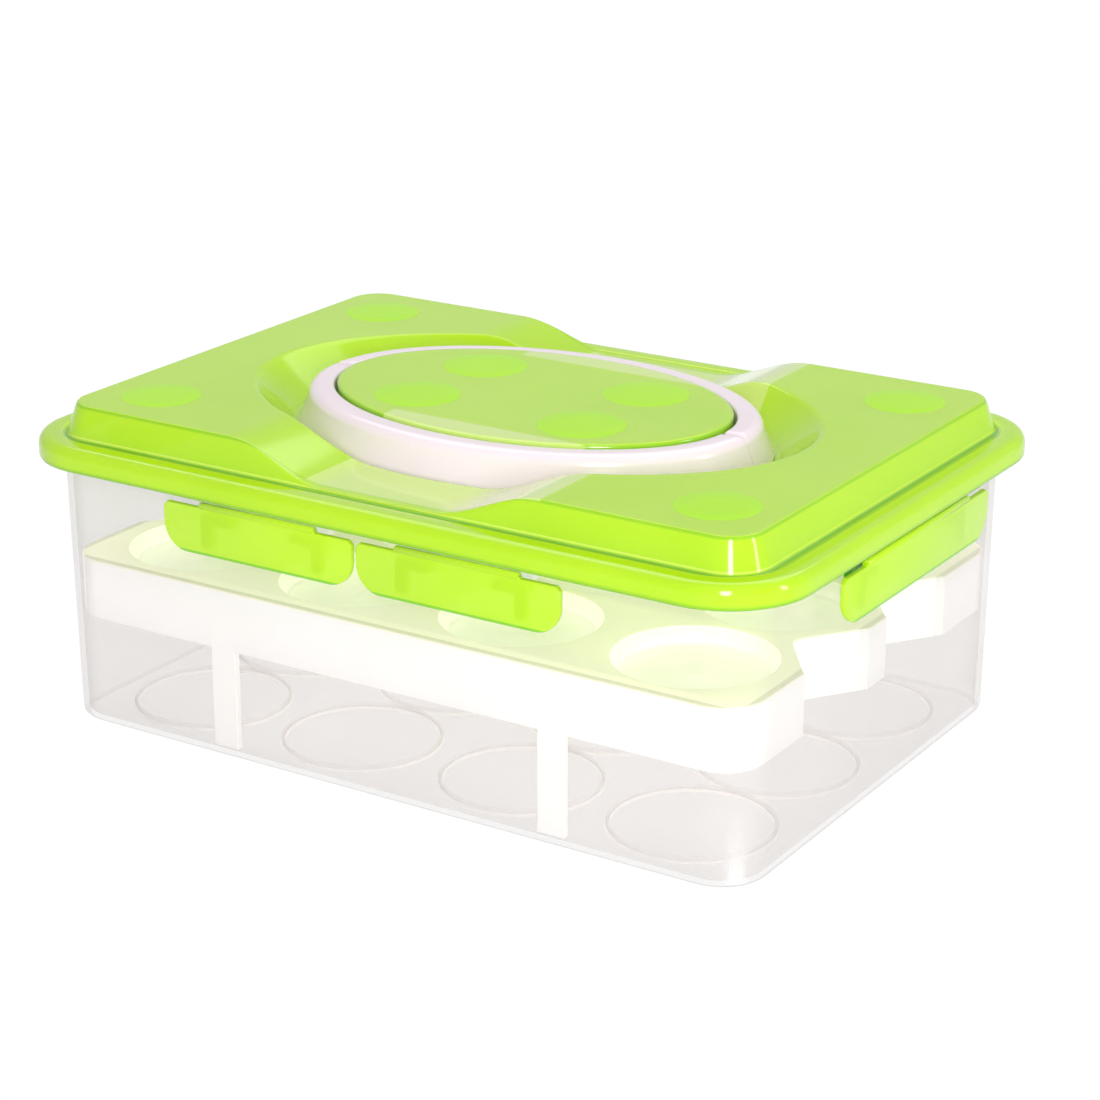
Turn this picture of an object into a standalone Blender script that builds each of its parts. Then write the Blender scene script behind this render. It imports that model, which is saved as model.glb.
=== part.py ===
"""Egg storage box for two layers of twelve eggs.

A clear tub holds a white tray on four legs, and a translucent green lid closes it
with six hinged latches. Two white half-oval bails fold down into the lid and make
the carrying handle when they are raised.

Metres, +Z up. The origin is the middle of the tub's underside, +X runs along the
long side, and the side with two latches faces -Y.
"""
import math

import bmesh
import bpy
from mathutils import Matrix, Vector

# Egg cells, the same grid on the tub's floor and on the tray
COLUMNS = 4
ROWS = 3
CELL_PITCH_X = 0.0665
CELL_PITCH_Y = 0.0585

# Tub
TUB_BASE_LENGTH = 0.277
TUB_BASE_WIDTH = 0.191
TUB_FLARE = 0.001
TUB_HEIGHT = 0.1028
TUB_WALL = 0.002
TUB_FLOOR = 0.002
TUB_CORNER_RADIUS = 0.017
TUB_BASE_FILLET = 0.0025
TUB_INSIDE_CHAMFER = 0.0005
TUB_LIP_THICKNESS = 0.002
TUB_LIP_CLEARANCE = 0.0005
CELL_RING_RADIUS = 0.0285
CELL_RING_WIDTH = 0.0014
CELL_RING_HEIGHT = 0.001
LUG_LENGTH = 0.0125
LUG_REACH = 0.0035
LUG_THICKNESS = 0.0025

# Tray
TRAY_CLEARANCE = 0.0006
TRAY_FOOT_GAP = 0.0003
TRAY_TOP_HEIGHT = 0.0605
TRAY_SKIRT_DEPTH = 0.022
TRAY_WALL = 0.002
TRAY_LEG_WIDTH = 0.0105
TRAY_LEG_THICKNESS = 0.0026
TRAY_EDGE_ROUND = 0.0008
DISH_RIM_RADIUS = 0.0275
DISH_FLOOR_RADIUS = 0.0252
DISH_DEPTH = 0.006
DISH_WALL = 0.0016
NOTCH_WIDTH = 0.043
NOTCH_DEPTH = 0.017
NOTCH_TIP_RADIUS = 0.006

# Lid
LID_WALL = 0.002
LID_SEAT_GAP = 0.0004
RIM_OVERHANG_X = 0.0102
RIM_OVERHANG_Y = 0.0099
RIM_HEIGHT = 0.0085
RIM_CORNER_RADIUS = 0.03
RIM_TOP_ROUND = 0.0035
RIM_FOOT_CHAMFER = 0.001
RIM_STEP_INSET = 0.0085
RIM_STEP_DEPTH = 0.0008
PLATFORM_INSET = 0.0118
PLATFORM_HEIGHT = 0.0106
PLATFORM_SLOPE = 0.0034
PLATFORM_FOOT_CORNER_RADIUS = 0.0145
PLATFORM_TOP_CORNER_RADIUS = 0.0115
PLATFORM_TOP_ROUND = 0.002
BOWL_LENGTH = 0.214
BOWL_WIDTH = 0.146
BOWL_FLOOR_LENGTH = 0.182
BOWL_FLOOR_WIDTH = 0.131
BOWL_DEPTH = 0.0131
PLATEAU_LENGTH = 0.15
PLATEAU_WIDTH = 0.102
PLATEAU_RISE = 0.0017
PLATEAU_TOP_ROUND = 0.001
VALLEY_TOP_WIDTH = 0.124
VALLEY_FLOOR_WIDTH = 0.044
VALLEY_STEP_ABOVE_RIM = 0.0003

# Latches
LATCH_THICKNESS = 0.0022
LATCH_HEIGHT = 0.0182
LATCH_CORNER_RADIUS = 0.0095
LATCH_PROUD = 0.0001
HINGE_BEAD_PROUD = 0.0002
LATCH_GAP_UNDER_RIM = 0.0003
LATCH_END_RELIEF = 0.0005
LATCH_WEB_WIDTH = 0.048
LONG_SIDE_LATCH_WIDTH = 0.0776
LONG_SIDE_LATCH_SPACING = 0.0792
SHORT_SIDE_LATCH_WIDTH = 0.1062
CATCH_OVERLAP = 0.0015
CATCH_GAP = 0.0003
CATCH_THICKNESS = 0.0032
CATCH_CENTRE_OFFSET = 0.0185
CATCH_RIB_WIDTH = 0.004
CATCH_RIB_DROP = 0.0085
CATCH_RIB_REACH = 0.0028

# Handle bails
BAIL_INSIDE_LENGTH = 0.1524
BAIL_INSIDE_WIDTH = 0.103
BAIL_BAND_WIDTH = 0.0094
BAIL_FOOT_FLARE = 0.0037
BAIL_HEIGHT = 0.0128
BAIL_RISE = 0.0007
BAIL_OUTER_ROUND = 0.0042
BAIL_INNER_ROUND = 0.0012
BAIL_SEAM_GAP = 0.0003
BAIL_WALL = 0.0022
BAIL_SOLID_END = 0.012
PIN_DIAMETER = 0.0036
PIN_HOLE_CLEARANCE = 0.0003
PIN_FROM_SEAM = 0.0036
PIN_BELOW_TOP = 0.0035
PIN_REACH = 0.0015
BAIL_TIP_RADIUS = 0.0034

# How far a cutter runs past what it cuts, and how deep joined shapes overlap
CUT_OVERRUN = 0.004
JOIN_OVERLAP = 0.0005

# Facets: segments in a full circle, and in a rounded corner or edge
RING_SEGMENTS = 28
DISH_SEGMENTS = 32
OVAL_SEGMENTS = 96
CORNER_SEGMENTS = 7
EDGE_SEGMENTS = 3
VALLEY_SEGMENTS = 10
PIN_SEGMENTS = 16
BAIL_PATH_POINTS = 41

# Heights and half sizes that follow from the sizes above
TUB_TOP_HALF_X = TUB_BASE_LENGTH / 2 + TUB_FLARE
TUB_TOP_HALF_Y = TUB_BASE_WIDTH / 2 + TUB_FLARE
RIM_HALF_X = TUB_TOP_HALF_X + RIM_OVERHANG_X
RIM_HALF_Y = TUB_TOP_HALF_Y + RIM_OVERHANG_Y
RIM_TOP = TUB_HEIGHT + LID_SEAT_GAP + LID_WALL
RIM_FOOT = RIM_TOP - RIM_HEIGHT
PLATFORM_TOP = RIM_TOP + PLATFORM_HEIGHT
BOWL_FLOOR = PLATFORM_TOP - BOWL_DEPTH
PLATEAU_TOP = PLATFORM_TOP + PLATEAU_RISE
BAIL_TOP = PLATFORM_TOP + BAIL_RISE
PIN_HEIGHT = BAIL_TOP - PIN_BELOW_TOP
LATCH_AXIS_HEIGHT = RIM_FOOT - LATCH_GAP_UNDER_RIM - LATCH_THICKNESS / 2 - HINGE_BEAD_PROUD
LUG_FOOT = LATCH_AXIS_HEIGHT - LATCH_THICKNESS / 2 - LUG_THICKNESS + CATCH_GAP

COLOURS = {
    "clear": (0.86, 0.86, 0.88),
    "white": (0.93, 0.92, 0.86),
    "green": (0.42, 0.78, 0.05),
    "bright_green": (0.50, 0.86, 0.04),
    "handle_white": (0.95, 0.93, 0.96),
}


def clear_scene():
    for item in list(bpy.data.objects):
        bpy.data.objects.remove(item, do_unlink=True)


def make_collection(name):
    collection = bpy.data.collections.new(name)
    bpy.context.scene.collection.children.link(collection)
    return collection


def make_material(name, colour, roughness):
    material = bpy.data.materials.new(name)
    material.use_nodes = True
    shader = material.node_tree.nodes["Principled BSDF"]
    shader.inputs["Base Color"].default_value = (*colour, 1.0)
    shader.inputs["Roughness"].default_value = roughness
    shader.inputs["Metallic"].default_value = 0.0
    material.diffuse_color = (*colour, 1.0)
    return material


def object_from_bmesh(bm, name, collection):
    bmesh.ops.recalc_face_normals(bm, faces=bm.faces)
    mesh = bpy.data.meshes.new(name)
    bm.to_mesh(mesh)
    bm.free()
    item = bpy.data.objects.new(name, mesh)
    collection.objects.link(item)
    return item


def mark_cutter(item):
    item.hide_render = True
    item.display_type = "WIRE"
    return item


def apply_modifiers(item):
    """Replaces the object's mesh by its evaluated mesh and drops the modifiers."""
    bpy.context.view_layer.update()
    evaluated = item.evaluated_get(bpy.context.evaluated_depsgraph_get())
    mesh = bpy.data.meshes.new_from_object(evaluated)
    item.modifiers.clear()
    item.data = mesh


def combine(item, other, operation):
    """Joins or cuts item by other, applies the result and removes other."""
    modifier = item.modifiers.new(operation.title(), "BOOLEAN")
    modifier.operation = operation
    modifier.solver = "EXACT"
    modifier.object = other
    apply_modifiers(item)
    bpy.data.objects.remove(other, do_unlink=True)
    return item


def rounded_box(name, collection, base_half, top_half, low, high, radius, edge_rounds=()):
    """A box with rounded upright corners, which may taper from base_half to top_half.

    edge_rounds holds (which, width, segments) for its "top" or "foot" edges.
    """
    bm = bmesh.new()
    bmesh.ops.create_cube(bm, size=2.0)
    for vertex in bm.verts:
        half = top_half if vertex.co.z > 0 else base_half
        height = high if vertex.co.z > 0 else low
        vertex.co = Vector((vertex.co.x * half[0], vertex.co.y * half[1], height))
    upright = [edge for edge in bm.edges if edge.verts[0].co.z != edge.verts[1].co.z]
    bmesh.ops.bevel(bm, geom=upright, offset=radius, offset_type="OFFSET",
                    segments=CORNER_SEGMENTS, profile=0.5, affect="EDGES", clamp_overlap=True)
    middle = (low + high) / 2
    for which, width, segments in edge_rounds:
        rim = [edge for edge in bm.edges
               if all((vertex.co.z > middle) == (which == "top") for vertex in edge.verts)]
        bmesh.ops.bevel(bm, geom=rim, offset=width, offset_type="OFFSET",
                        segments=segments, profile=0.5, affect="EDGES", clamp_overlap=True)
        middle = (min(v.co.z for v in bm.verts) + max(v.co.z for v in bm.verts)) / 2
    return object_from_bmesh(bm, name, collection)


def oval_frustum(name, collection, low_half, high_half, low, high, segments, top_round=None):
    """A solid oval plug: low_half and high_half are its half sizes at its two ends."""
    bm = bmesh.new()
    bmesh.ops.create_cone(bm, cap_ends=True, segments=segments, radius1=1.0, radius2=1.0, depth=2.0)
    for vertex in bm.verts:
        half = high_half if vertex.co.z > 0 else low_half
        height = high if vertex.co.z > 0 else low
        vertex.co = Vector((vertex.co.x * half[0], vertex.co.y * half[1], height))
    if top_round:
        rim = [edge for edge in bm.edges if all(vertex.co.z == high for vertex in edge.verts)]
        bmesh.ops.bevel(bm, geom=rim, offset=top_round, offset_type="OFFSET",
                        segments=2, profile=0.5, affect="EDGES", clamp_overlap=True)
    # Ovals of unlike proportions leave twisted quads, which only triangles cut the same each time
    walls = [face for face in bm.faces if len(face.verts) == 4]
    bmesh.ops.triangulate(bm, faces=walls, quad_method="FIXED")
    return object_from_bmesh(bm, name, collection)


def join_bmesh_box(bm, low, high):
    """Adds a plain box from corner low to corner high to bm."""
    size = [high[axis] - low[axis] for axis in range(3)]
    centre = [(high[axis] + low[axis]) / 2 for axis in range(3)]
    matrix = Matrix.Translation(centre) @ Matrix.Diagonal((*size, 1.0))
    bmesh.ops.create_cube(bm, size=1.0, matrix=matrix)


def prism(name, collection, outline, low, high, matrix=None):
    """Extrudes a flat outline of (x, y) points from height low to high, then places it."""
    bm = bmesh.new()
    face = bm.faces.new([bm.verts.new((x, y, low)) for x, y in outline])
    top = bmesh.ops.extrude_face_region(bm, geom=[face])
    raised = [item for item in top["geom"] if isinstance(item, bmesh.types.BMVert)]
    bmesh.ops.translate(bm, verts=raised, vec=(0.0, 0.0, high - low))
    if matrix:
        bmesh.ops.transform(bm, matrix=matrix, verts=bm.verts)
    return object_from_bmesh(bm, name, collection)


def arc(centre, radius, start, end, segments):
    """Points on a circle's arc from angle start to angle end, in degrees."""
    steps = [start + (end - start) * step / segments for step in range(segments + 1)]
    return [(centre[0] + radius * math.cos(math.radians(angle)),
             centre[1] + radius * math.sin(math.radians(angle))) for angle in steps]


def cell_centres():
    for column in range(COLUMNS):
        for row in range(ROWS):
            yield ((column - (COLUMNS - 1) / 2) * CELL_PITCH_X,
                   (row - (ROWS - 1) / 2) * CELL_PITCH_Y)


def tub_half(height, inset):
    """Half length and half width of the tub's wall at a height, moved in by inset."""
    flare = TUB_FLARE * height / TUB_HEIGHT
    return (TUB_BASE_LENGTH / 2 + flare - inset, TUB_BASE_WIDTH / 2 + flare - inset)


def latch_places():
    """Name, centre along its side, width, and turn about Z of each latch."""
    spread = LONG_SIDE_LATCH_SPACING / 2
    return (
        ("latch_front_left", -spread, LONG_SIDE_LATCH_WIDTH, 0),
        ("latch_front_right", spread, LONG_SIDE_LATCH_WIDTH, 0),
        ("latch_right", 0.0, SHORT_SIDE_LATCH_WIDTH, 90),
        ("latch_back_right", -spread, LONG_SIDE_LATCH_WIDTH, 180),
        ("latch_back_left", spread, LONG_SIDE_LATCH_WIDTH, 180),
        ("latch_left", 0.0, SHORT_SIDE_LATCH_WIDTH, 270),
    )


def side_distance(turn, half_x, half_y):
    """Distance from the middle to the side that faces -Y before a turn about Z."""
    return half_y if turn % 180 == 0 else half_x


def turned(turn):
    return Matrix.Rotation(math.radians(turn), 4, "Z")


def catch_centres(width):
    """Offsets of a latch's two catches from its middle, wider apart on a wide latch."""
    offset = CATCH_CENTRE_OFFSET + (width - LONG_SIDE_LATCH_WIDTH) / 2
    return (-offset, offset)


def make_tub(parts, cutters):
    tub = rounded_box("box_body", parts, tub_half(0, 0), tub_half(TUB_HEIGHT, 0),
                      0.0, TUB_HEIGHT, TUB_CORNER_RADIUS,
                      [("foot", TUB_BASE_FILLET, EDGE_SEGMENTS)])
    lip_half = (RIM_HALF_X - LID_WALL - TUB_LIP_CLEARANCE, RIM_HALF_Y - LID_WALL - TUB_LIP_CLEARANCE)
    lip = rounded_box("lip", cutters, lip_half, lip_half, TUB_HEIGHT - TUB_LIP_THICKNESS, TUB_HEIGHT,
                      RIM_CORNER_RADIUS - LID_WALL - TUB_LIP_CLEARANCE)
    combine(tub, lip, "UNION")
    lugs = bmesh.new()
    for _, centre, width, turn in latch_places():
        piece = bmesh.new()
        wall = side_distance(turn, *tub_half(LUG_FOOT, 0))
        for offset in catch_centres(width):
            join_bmesh_box(piece,
                           (centre + offset - LUG_LENGTH / 2, -wall - LUG_REACH, LUG_FOOT),
                           (centre + offset + LUG_LENGTH / 2, -wall + TUB_WALL / 2, LUG_FOOT + LUG_THICKNESS))
        bmesh.ops.transform(piece, matrix=turned(turn), verts=piece.verts)
        mesh = bpy.data.meshes.new("lug")
        piece.to_mesh(mesh)
        piece.free()
        lugs.from_mesh(mesh)
        bpy.data.meshes.remove(mesh)
    combine(tub, object_from_bmesh(lugs, "lugs", cutters), "UNION")
    cavity_top = TUB_HEIGHT + CUT_OVERRUN
    cavity = rounded_box("tub_cavity", cutters, tub_half(TUB_FLOOR, TUB_WALL),
                         tub_half(cavity_top, TUB_WALL), TUB_FLOOR, cavity_top,
                         TUB_CORNER_RADIUS - TUB_WALL, [("foot", TUB_INSIDE_CHAMFER, 1)])
    combine(tub, cavity, "DIFFERENCE")
    rings = bmesh.new()
    for x, y in cell_centres():
        outer = bmesh.ops.create_circle(rings, cap_ends=False, radius=CELL_RING_RADIUS, segments=RING_SEGMENTS)
        inner = bmesh.ops.create_circle(rings, cap_ends=False, radius=CELL_RING_RADIUS - CELL_RING_WIDTH,
                                        segments=RING_SEGMENTS)
        loops = outer["verts"] + inner["verts"]
        place = Matrix.Translation((x, y, TUB_FLOOR - JOIN_OVERLAP))
        bmesh.ops.transform(rings, matrix=place, verts=loops)
        edges = list({edge for vertex in loops for edge in vertex.link_edges})
        band = bmesh.ops.bridge_loops(rings, edges=edges)["faces"]
        raised = bmesh.ops.extrude_face_region(rings, geom=band, use_keep_orig=True)
        verts = [item for item in raised["geom"] if isinstance(item, bmesh.types.BMVert)]
        bmesh.ops.translate(rings, verts=verts, vec=(0.0, 0.0, CELL_RING_HEIGHT + JOIN_OVERLAP))
    combine(tub, object_from_bmesh(rings, "rings", cutters), "UNION")
    return tub


def notch_outline(grow):
    """A notch between two dishes: a blunt V that opens outwards along +X, grown by grow."""
    half_width = NOTCH_WIDTH / 2
    lean = math.atan2(half_width, NOTCH_DEPTH)
    shift = grow / math.sin(lean)
    tip = -NOTCH_DEPTH - shift
    radius = NOTCH_TIP_RADIUS - grow if grow < NOTCH_TIP_RADIUS / 2 else NOTCH_TIP_RADIUS / 2
    centre = tip + radius / math.sin(lean)
    side = 90.0 + math.degrees(lean)
    mouth = CUT_OVERRUN
    reach = (mouth - tip) * math.tan(lean)
    points = [(mouth, reach)]
    points += arc((centre, 0.0), radius, side, 360.0 - side, EDGE_SEGMENTS + 1)
    points.append((mouth, -reach))
    return points


def tray_notches(name, cutters, grow, low, high, half_x):
    """The four finger notches of the tray's short sides, as one cutter."""
    joined = bmesh.new()
    for side in (0, 180):
        for row in (-0.5, 0.5):
            place = turned(side) @ Matrix.Translation((half_x, row * CELL_PITCH_Y, 0.0))
            piece = prism("notch", cutters, notch_outline(grow), low, high, place)
            joined.from_mesh(piece.data)
            bpy.data.objects.remove(piece, do_unlink=True)
    return object_from_bmesh(joined, name, cutters)


def dish_plugs(name, cutters, rim_radius, floor_radius, floor, top):
    """Tapered plugs on every cell, as one object."""
    bm = bmesh.new()
    for x, y in cell_centres():
        made = bmesh.ops.create_cone(bm, cap_ends=True, segments=DISH_SEGMENTS,
                                     radius1=floor_radius, radius2=rim_radius, depth=top - floor)
        bmesh.ops.translate(bm, verts=made["verts"], vec=(x, y, (top + floor) / 2))
    return object_from_bmesh(bm, name, cutters)


def make_tray(parts, cutters):
    half = tub_half(0, TUB_WALL + TRAY_CLEARANCE)
    inner = (half[0] - TRAY_WALL, half[1] - TRAY_WALL)
    radius = TUB_CORNER_RADIUS - TUB_WALL - TRAY_CLEARANCE
    skirt_foot = TRAY_TOP_HEIGHT - TRAY_SKIRT_DEPTH
    plate_under = TRAY_TOP_HEIGHT - TRAY_WALL
    tray = rounded_box("egg_tray", parts, half, half, skirt_foot, TRAY_TOP_HEIGHT, radius)
    combine(tray, tray_notches("notches", cutters, 0.0, skirt_foot - CUT_OVERRUN,
                               TRAY_TOP_HEIGHT + CUT_OVERRUN, half[0]), "DIFFERENCE")
    hollow = rounded_box("tray_hollow", cutters, inner, inner, skirt_foot - CUT_OVERRUN, plate_under,
                         radius - TRAY_WALL)
    combine(hollow, tray_notches("grown_notches", cutters, TRAY_WALL, skirt_foot - 2 * CUT_OVERRUN,
                                 TRAY_TOP_HEIGHT, half[0]), "DIFFERENCE")
    combine(tray, hollow, "DIFFERENCE")
    dish_floor = TRAY_TOP_HEIGHT - DISH_DEPTH
    shells = dish_plugs("dish_shells", cutters, DISH_RIM_RADIUS + DISH_WALL / 2, DISH_FLOOR_RADIUS + DISH_WALL,
                        dish_floor - DISH_WALL, plate_under + JOIN_OVERLAP)
    combine(tray, shells, "UNION")
    slope = (DISH_RIM_RADIUS - DISH_FLOOR_RADIUS) / DISH_DEPTH
    plugs = dish_plugs("dish_plugs", cutters, DISH_RIM_RADIUS + slope * CUT_OVERRUN, DISH_FLOOR_RADIUS,
                       dish_floor, TRAY_TOP_HEIGHT + CUT_OVERRUN)
    combine(tray, plugs, "DIFFERENCE")
    legs = bmesh.new()
    leg_foot = TUB_FLOOR + TRAY_FOOT_GAP
    for x in (-CELL_PITCH_X, CELL_PITCH_X):
        for side in (-1, 1):
            faces = sorted((side * half[1], side * (half[1] - TRAY_LEG_THICKNESS)))
            join_bmesh_box(legs, (x - TRAY_LEG_WIDTH / 2, faces[0], leg_foot),
                           (x + TRAY_LEG_WIDTH / 2, faces[1], plate_under + JOIN_OVERLAP))
    combine(tray, object_from_bmesh(legs, "legs", cutters), "UNION")
    return tray


def valley_outline(grow):
    """The dip in the lid's long edges, seen along Y: a flat floor with an S-curve each side."""
    floor = RIM_TOP + VALLEY_STEP_ABOVE_RIM - grow
    high = PLATFORM_TOP + CUT_OVERRUN
    half_floor = VALLEY_FLOOR_WIDTH / 2 + grow / 2
    half_top = VALLEY_TOP_WIDTH / 2 + grow
    side = []
    for step in range(VALLEY_SEGMENTS + 1):
        share = step / VALLEY_SEGMENTS
        rise = (1 - math.cos(math.pi * share)) / 2
        side.append((half_floor + (half_top - half_floor) * share,
                     floor + (PLATFORM_TOP - floor) * rise))
    side.append((half_top, high))
    return side + [(-x, z) for x, z in reversed(side)]


def valley_cutter(name, cutters, grow):
    """Both valleys as one cutter that runs from beside the plateau past the lid's edge."""
    joined = bmesh.new()
    upright = Matrix.Rotation(math.radians(90), 4, "X")
    for side in (0, 180):
        piece = prism("valley", cutters, valley_outline(grow), BAIL_INSIDE_WIDTH / 2,
                      RIM_HALF_Y + CUT_OVERRUN, turned(side) @ upright)
        joined.from_mesh(piece.data)
        bpy.data.objects.remove(piece, do_unlink=True)
    return object_from_bmesh(joined, name, cutters)


def tapered_box(name, collection, sections, top_round):
    """Lofts between rounded rectangles of unlike radii, each (half, radius, height)."""
    bm = bmesh.new()
    loops = []
    for half, radius, height in sections:
        points = []
        for sign_x, sign_y, start in ((1, 1, 0), (-1, 1, 90), (-1, -1, 180), (1, -1, 270)):
            centre = (sign_x * (half[0] - radius), sign_y * (half[1] - radius))
            points += arc(centre, radius, start, start + 90, CORNER_SEGMENTS)
        loops.append([bm.verts.new((x, y, height)) for x, y in points])
    count = len(loops[0])
    for lower, upper in zip(loops, loops[1:]):
        for step in range(count):
            after = (step + 1) % count
            bm.faces.new((lower[step], lower[after], upper[after], upper[step]))
    bm.faces.new(loops[0])
    bm.faces.new(loops[-1])
    if top_round:
        rim = [edge for edge in bm.edges if all(vertex in loops[-1] for vertex in edge.verts)]
        bmesh.ops.bevel(bm, geom=rim, offset=top_round, offset_type="OFFSET",
                        segments=EDGE_SEGMENTS, profile=0.5, affect="EDGES", clamp_overlap=True)
    return object_from_bmesh(bm, name, collection)


def platform(name, collection, inset, top, rounding):
    """The lid's raised middle, inset from its outer faces, up to the height top."""
    def half(height):
        slope = PLATFORM_SLOPE * (height - RIM_TOP) / PLATFORM_HEIGHT
        shift = PLATFORM_INSET + slope + inset
        return (RIM_HALF_X - shift, RIM_HALF_Y - shift)

    def radius(height):
        share = (height - RIM_TOP) / PLATFORM_HEIGHT
        change = PLATFORM_TOP_CORNER_RADIUS - PLATFORM_FOOT_CORNER_RADIUS
        return PLATFORM_FOOT_CORNER_RADIUS + change * share - inset
    low = RIM_FOOT - CUT_OVERRUN if inset else RIM_TOP - RIM_STEP_DEPTH - JOIN_OVERLAP
    sections = [(half(height), radius(height), height) for height in (low, top)]
    return tapered_box(name, collection, sections, rounding)


def bowl(name, cutters, grow):
    """The oval bowl round the handle, grown by grow."""
    floor = BOWL_FLOOR - grow
    high = PLATFORM_TOP + CUT_OVERRUN
    climb = (high - BOWL_FLOOR) / BOWL_DEPTH
    lows = (BOWL_FLOOR_LENGTH / 2 + grow, BOWL_FLOOR_WIDTH / 2 + grow)
    highs = (BOWL_FLOOR_LENGTH / 2 + (BOWL_LENGTH - BOWL_FLOOR_LENGTH) / 2 * climb + grow,
             BOWL_FLOOR_WIDTH / 2 + (BOWL_WIDTH - BOWL_FLOOR_WIDTH) / 2 * climb + grow)
    return oval_frustum(name, cutters, lows, highs, floor, high, OVAL_SEGMENTS)


def pin_holes(cutters):
    """Holes in the plateau's ends for the four pins of the bails."""
    bm = bmesh.new()
    along_x = Matrix.Rotation(math.radians(90), 4, "Y")
    length = 2 * (LID_WALL + PIN_REACH) + CUT_OVERRUN
    for end in (-1, 1):
        for side in (-1, 1):
            place = Matrix.Translation((end * PLATEAU_LENGTH / 2, side * PIN_FROM_SEAM, PIN_HEIGHT))
            bmesh.ops.create_cone(bm, cap_ends=True, segments=PIN_SEGMENTS, depth=length,
                                  radius1=PIN_DIAMETER / 2 + PIN_HOLE_CLEARANCE,
                                  radius2=PIN_DIAMETER / 2 + PIN_HOLE_CLEARANCE, matrix=place @ along_x)
    return object_from_bmesh(bm, "pin_holes", cutters)


def make_lid(parts, cutters):
    rim_half = (RIM_HALF_X, RIM_HALF_Y)
    lid = rounded_box("lid", parts, rim_half, rim_half, RIM_FOOT, RIM_TOP, RIM_CORNER_RADIUS,
                      [("top", RIM_TOP_ROUND, EDGE_SEGMENTS), ("foot", RIM_FOOT_CHAMFER, 1)])
    step_half = (RIM_HALF_X - RIM_STEP_INSET, RIM_HALF_Y - RIM_STEP_INSET)
    step = rounded_box("rim_step", cutters, step_half, step_half, RIM_TOP - RIM_STEP_DEPTH,
                       RIM_TOP + CUT_OVERRUN, RIM_CORNER_RADIUS - RIM_STEP_INSET)
    combine(lid, step, "DIFFERENCE")
    combine(lid, platform("platform", cutters, 0.0, PLATFORM_TOP, PLATFORM_TOP_ROUND), "UNION")
    combine(lid, valley_cutter("valleys", cutters, 0.0), "DIFFERENCE")
    combine(lid, bowl("bowl", cutters, 0.0), "DIFFERENCE")
    oval = (PLATEAU_LENGTH / 2, PLATEAU_WIDTH / 2)
    plateau = oval_frustum("plateau", cutters, oval, oval, RIM_FOOT, PLATEAU_TOP, OVAL_SEGMENTS,
                           PLATEAU_TOP_ROUND)
    combine(lid, plateau, "UNION")

    under_rim = RIM_TOP - LID_WALL
    inner_half = (RIM_HALF_X - LID_WALL, RIM_HALF_Y - LID_WALL)
    hollow = rounded_box("lid_hollow", cutters, inner_half, inner_half, RIM_FOOT - CUT_OVERRUN, under_rim,
                         RIM_CORNER_RADIUS - LID_WALL)
    combine(hollow, platform("platform_hollow", cutters, LID_WALL, PLATFORM_TOP - LID_WALL, 0.0), "UNION")
    combine(hollow, bowl("grown_bowl", cutters, LID_WALL), "DIFFERENCE")
    combine(hollow, valley_cutter("grown_valleys", cutters, LID_WALL), "DIFFERENCE")
    inner_oval = (oval[0] - LID_WALL, oval[1] - LID_WALL)
    core = oval_frustum("plateau_hollow", cutters, inner_oval, inner_oval, RIM_FOOT - CUT_OVERRUN,
                        PLATEAU_TOP - LID_WALL, OVAL_SEGMENTS)
    combine(hollow, core, "UNION")
    combine(lid, hollow, "DIFFERENCE")
    combine(lid, pin_holes(cutters), "DIFFERENCE")
    return lid


def latch_outline(width):
    """A latch's face, hanging from its axis: rounded lower corners, relieved upper ends."""
    half = width / 2
    web = LATCH_WEB_WIDTH / 2 + (width - LONG_SIDE_LATCH_WIDTH) / 2
    foot = -LATCH_HEIGHT + LATCH_THICKNESS / 2
    radius = LATCH_CORNER_RADIUS
    top = -LATCH_END_RELIEF
    points = [(web, 0.0), (-web, 0.0), (-web, top), (-half, top)]
    points += arc((-half + radius, foot + radius), radius, 180, 270, CORNER_SEGMENTS)
    points += arc((half - radius, foot + radius), radius, 270, 360, CORNER_SEGMENTS)
    points += [(half, top), (web, top)]
    return points


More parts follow.
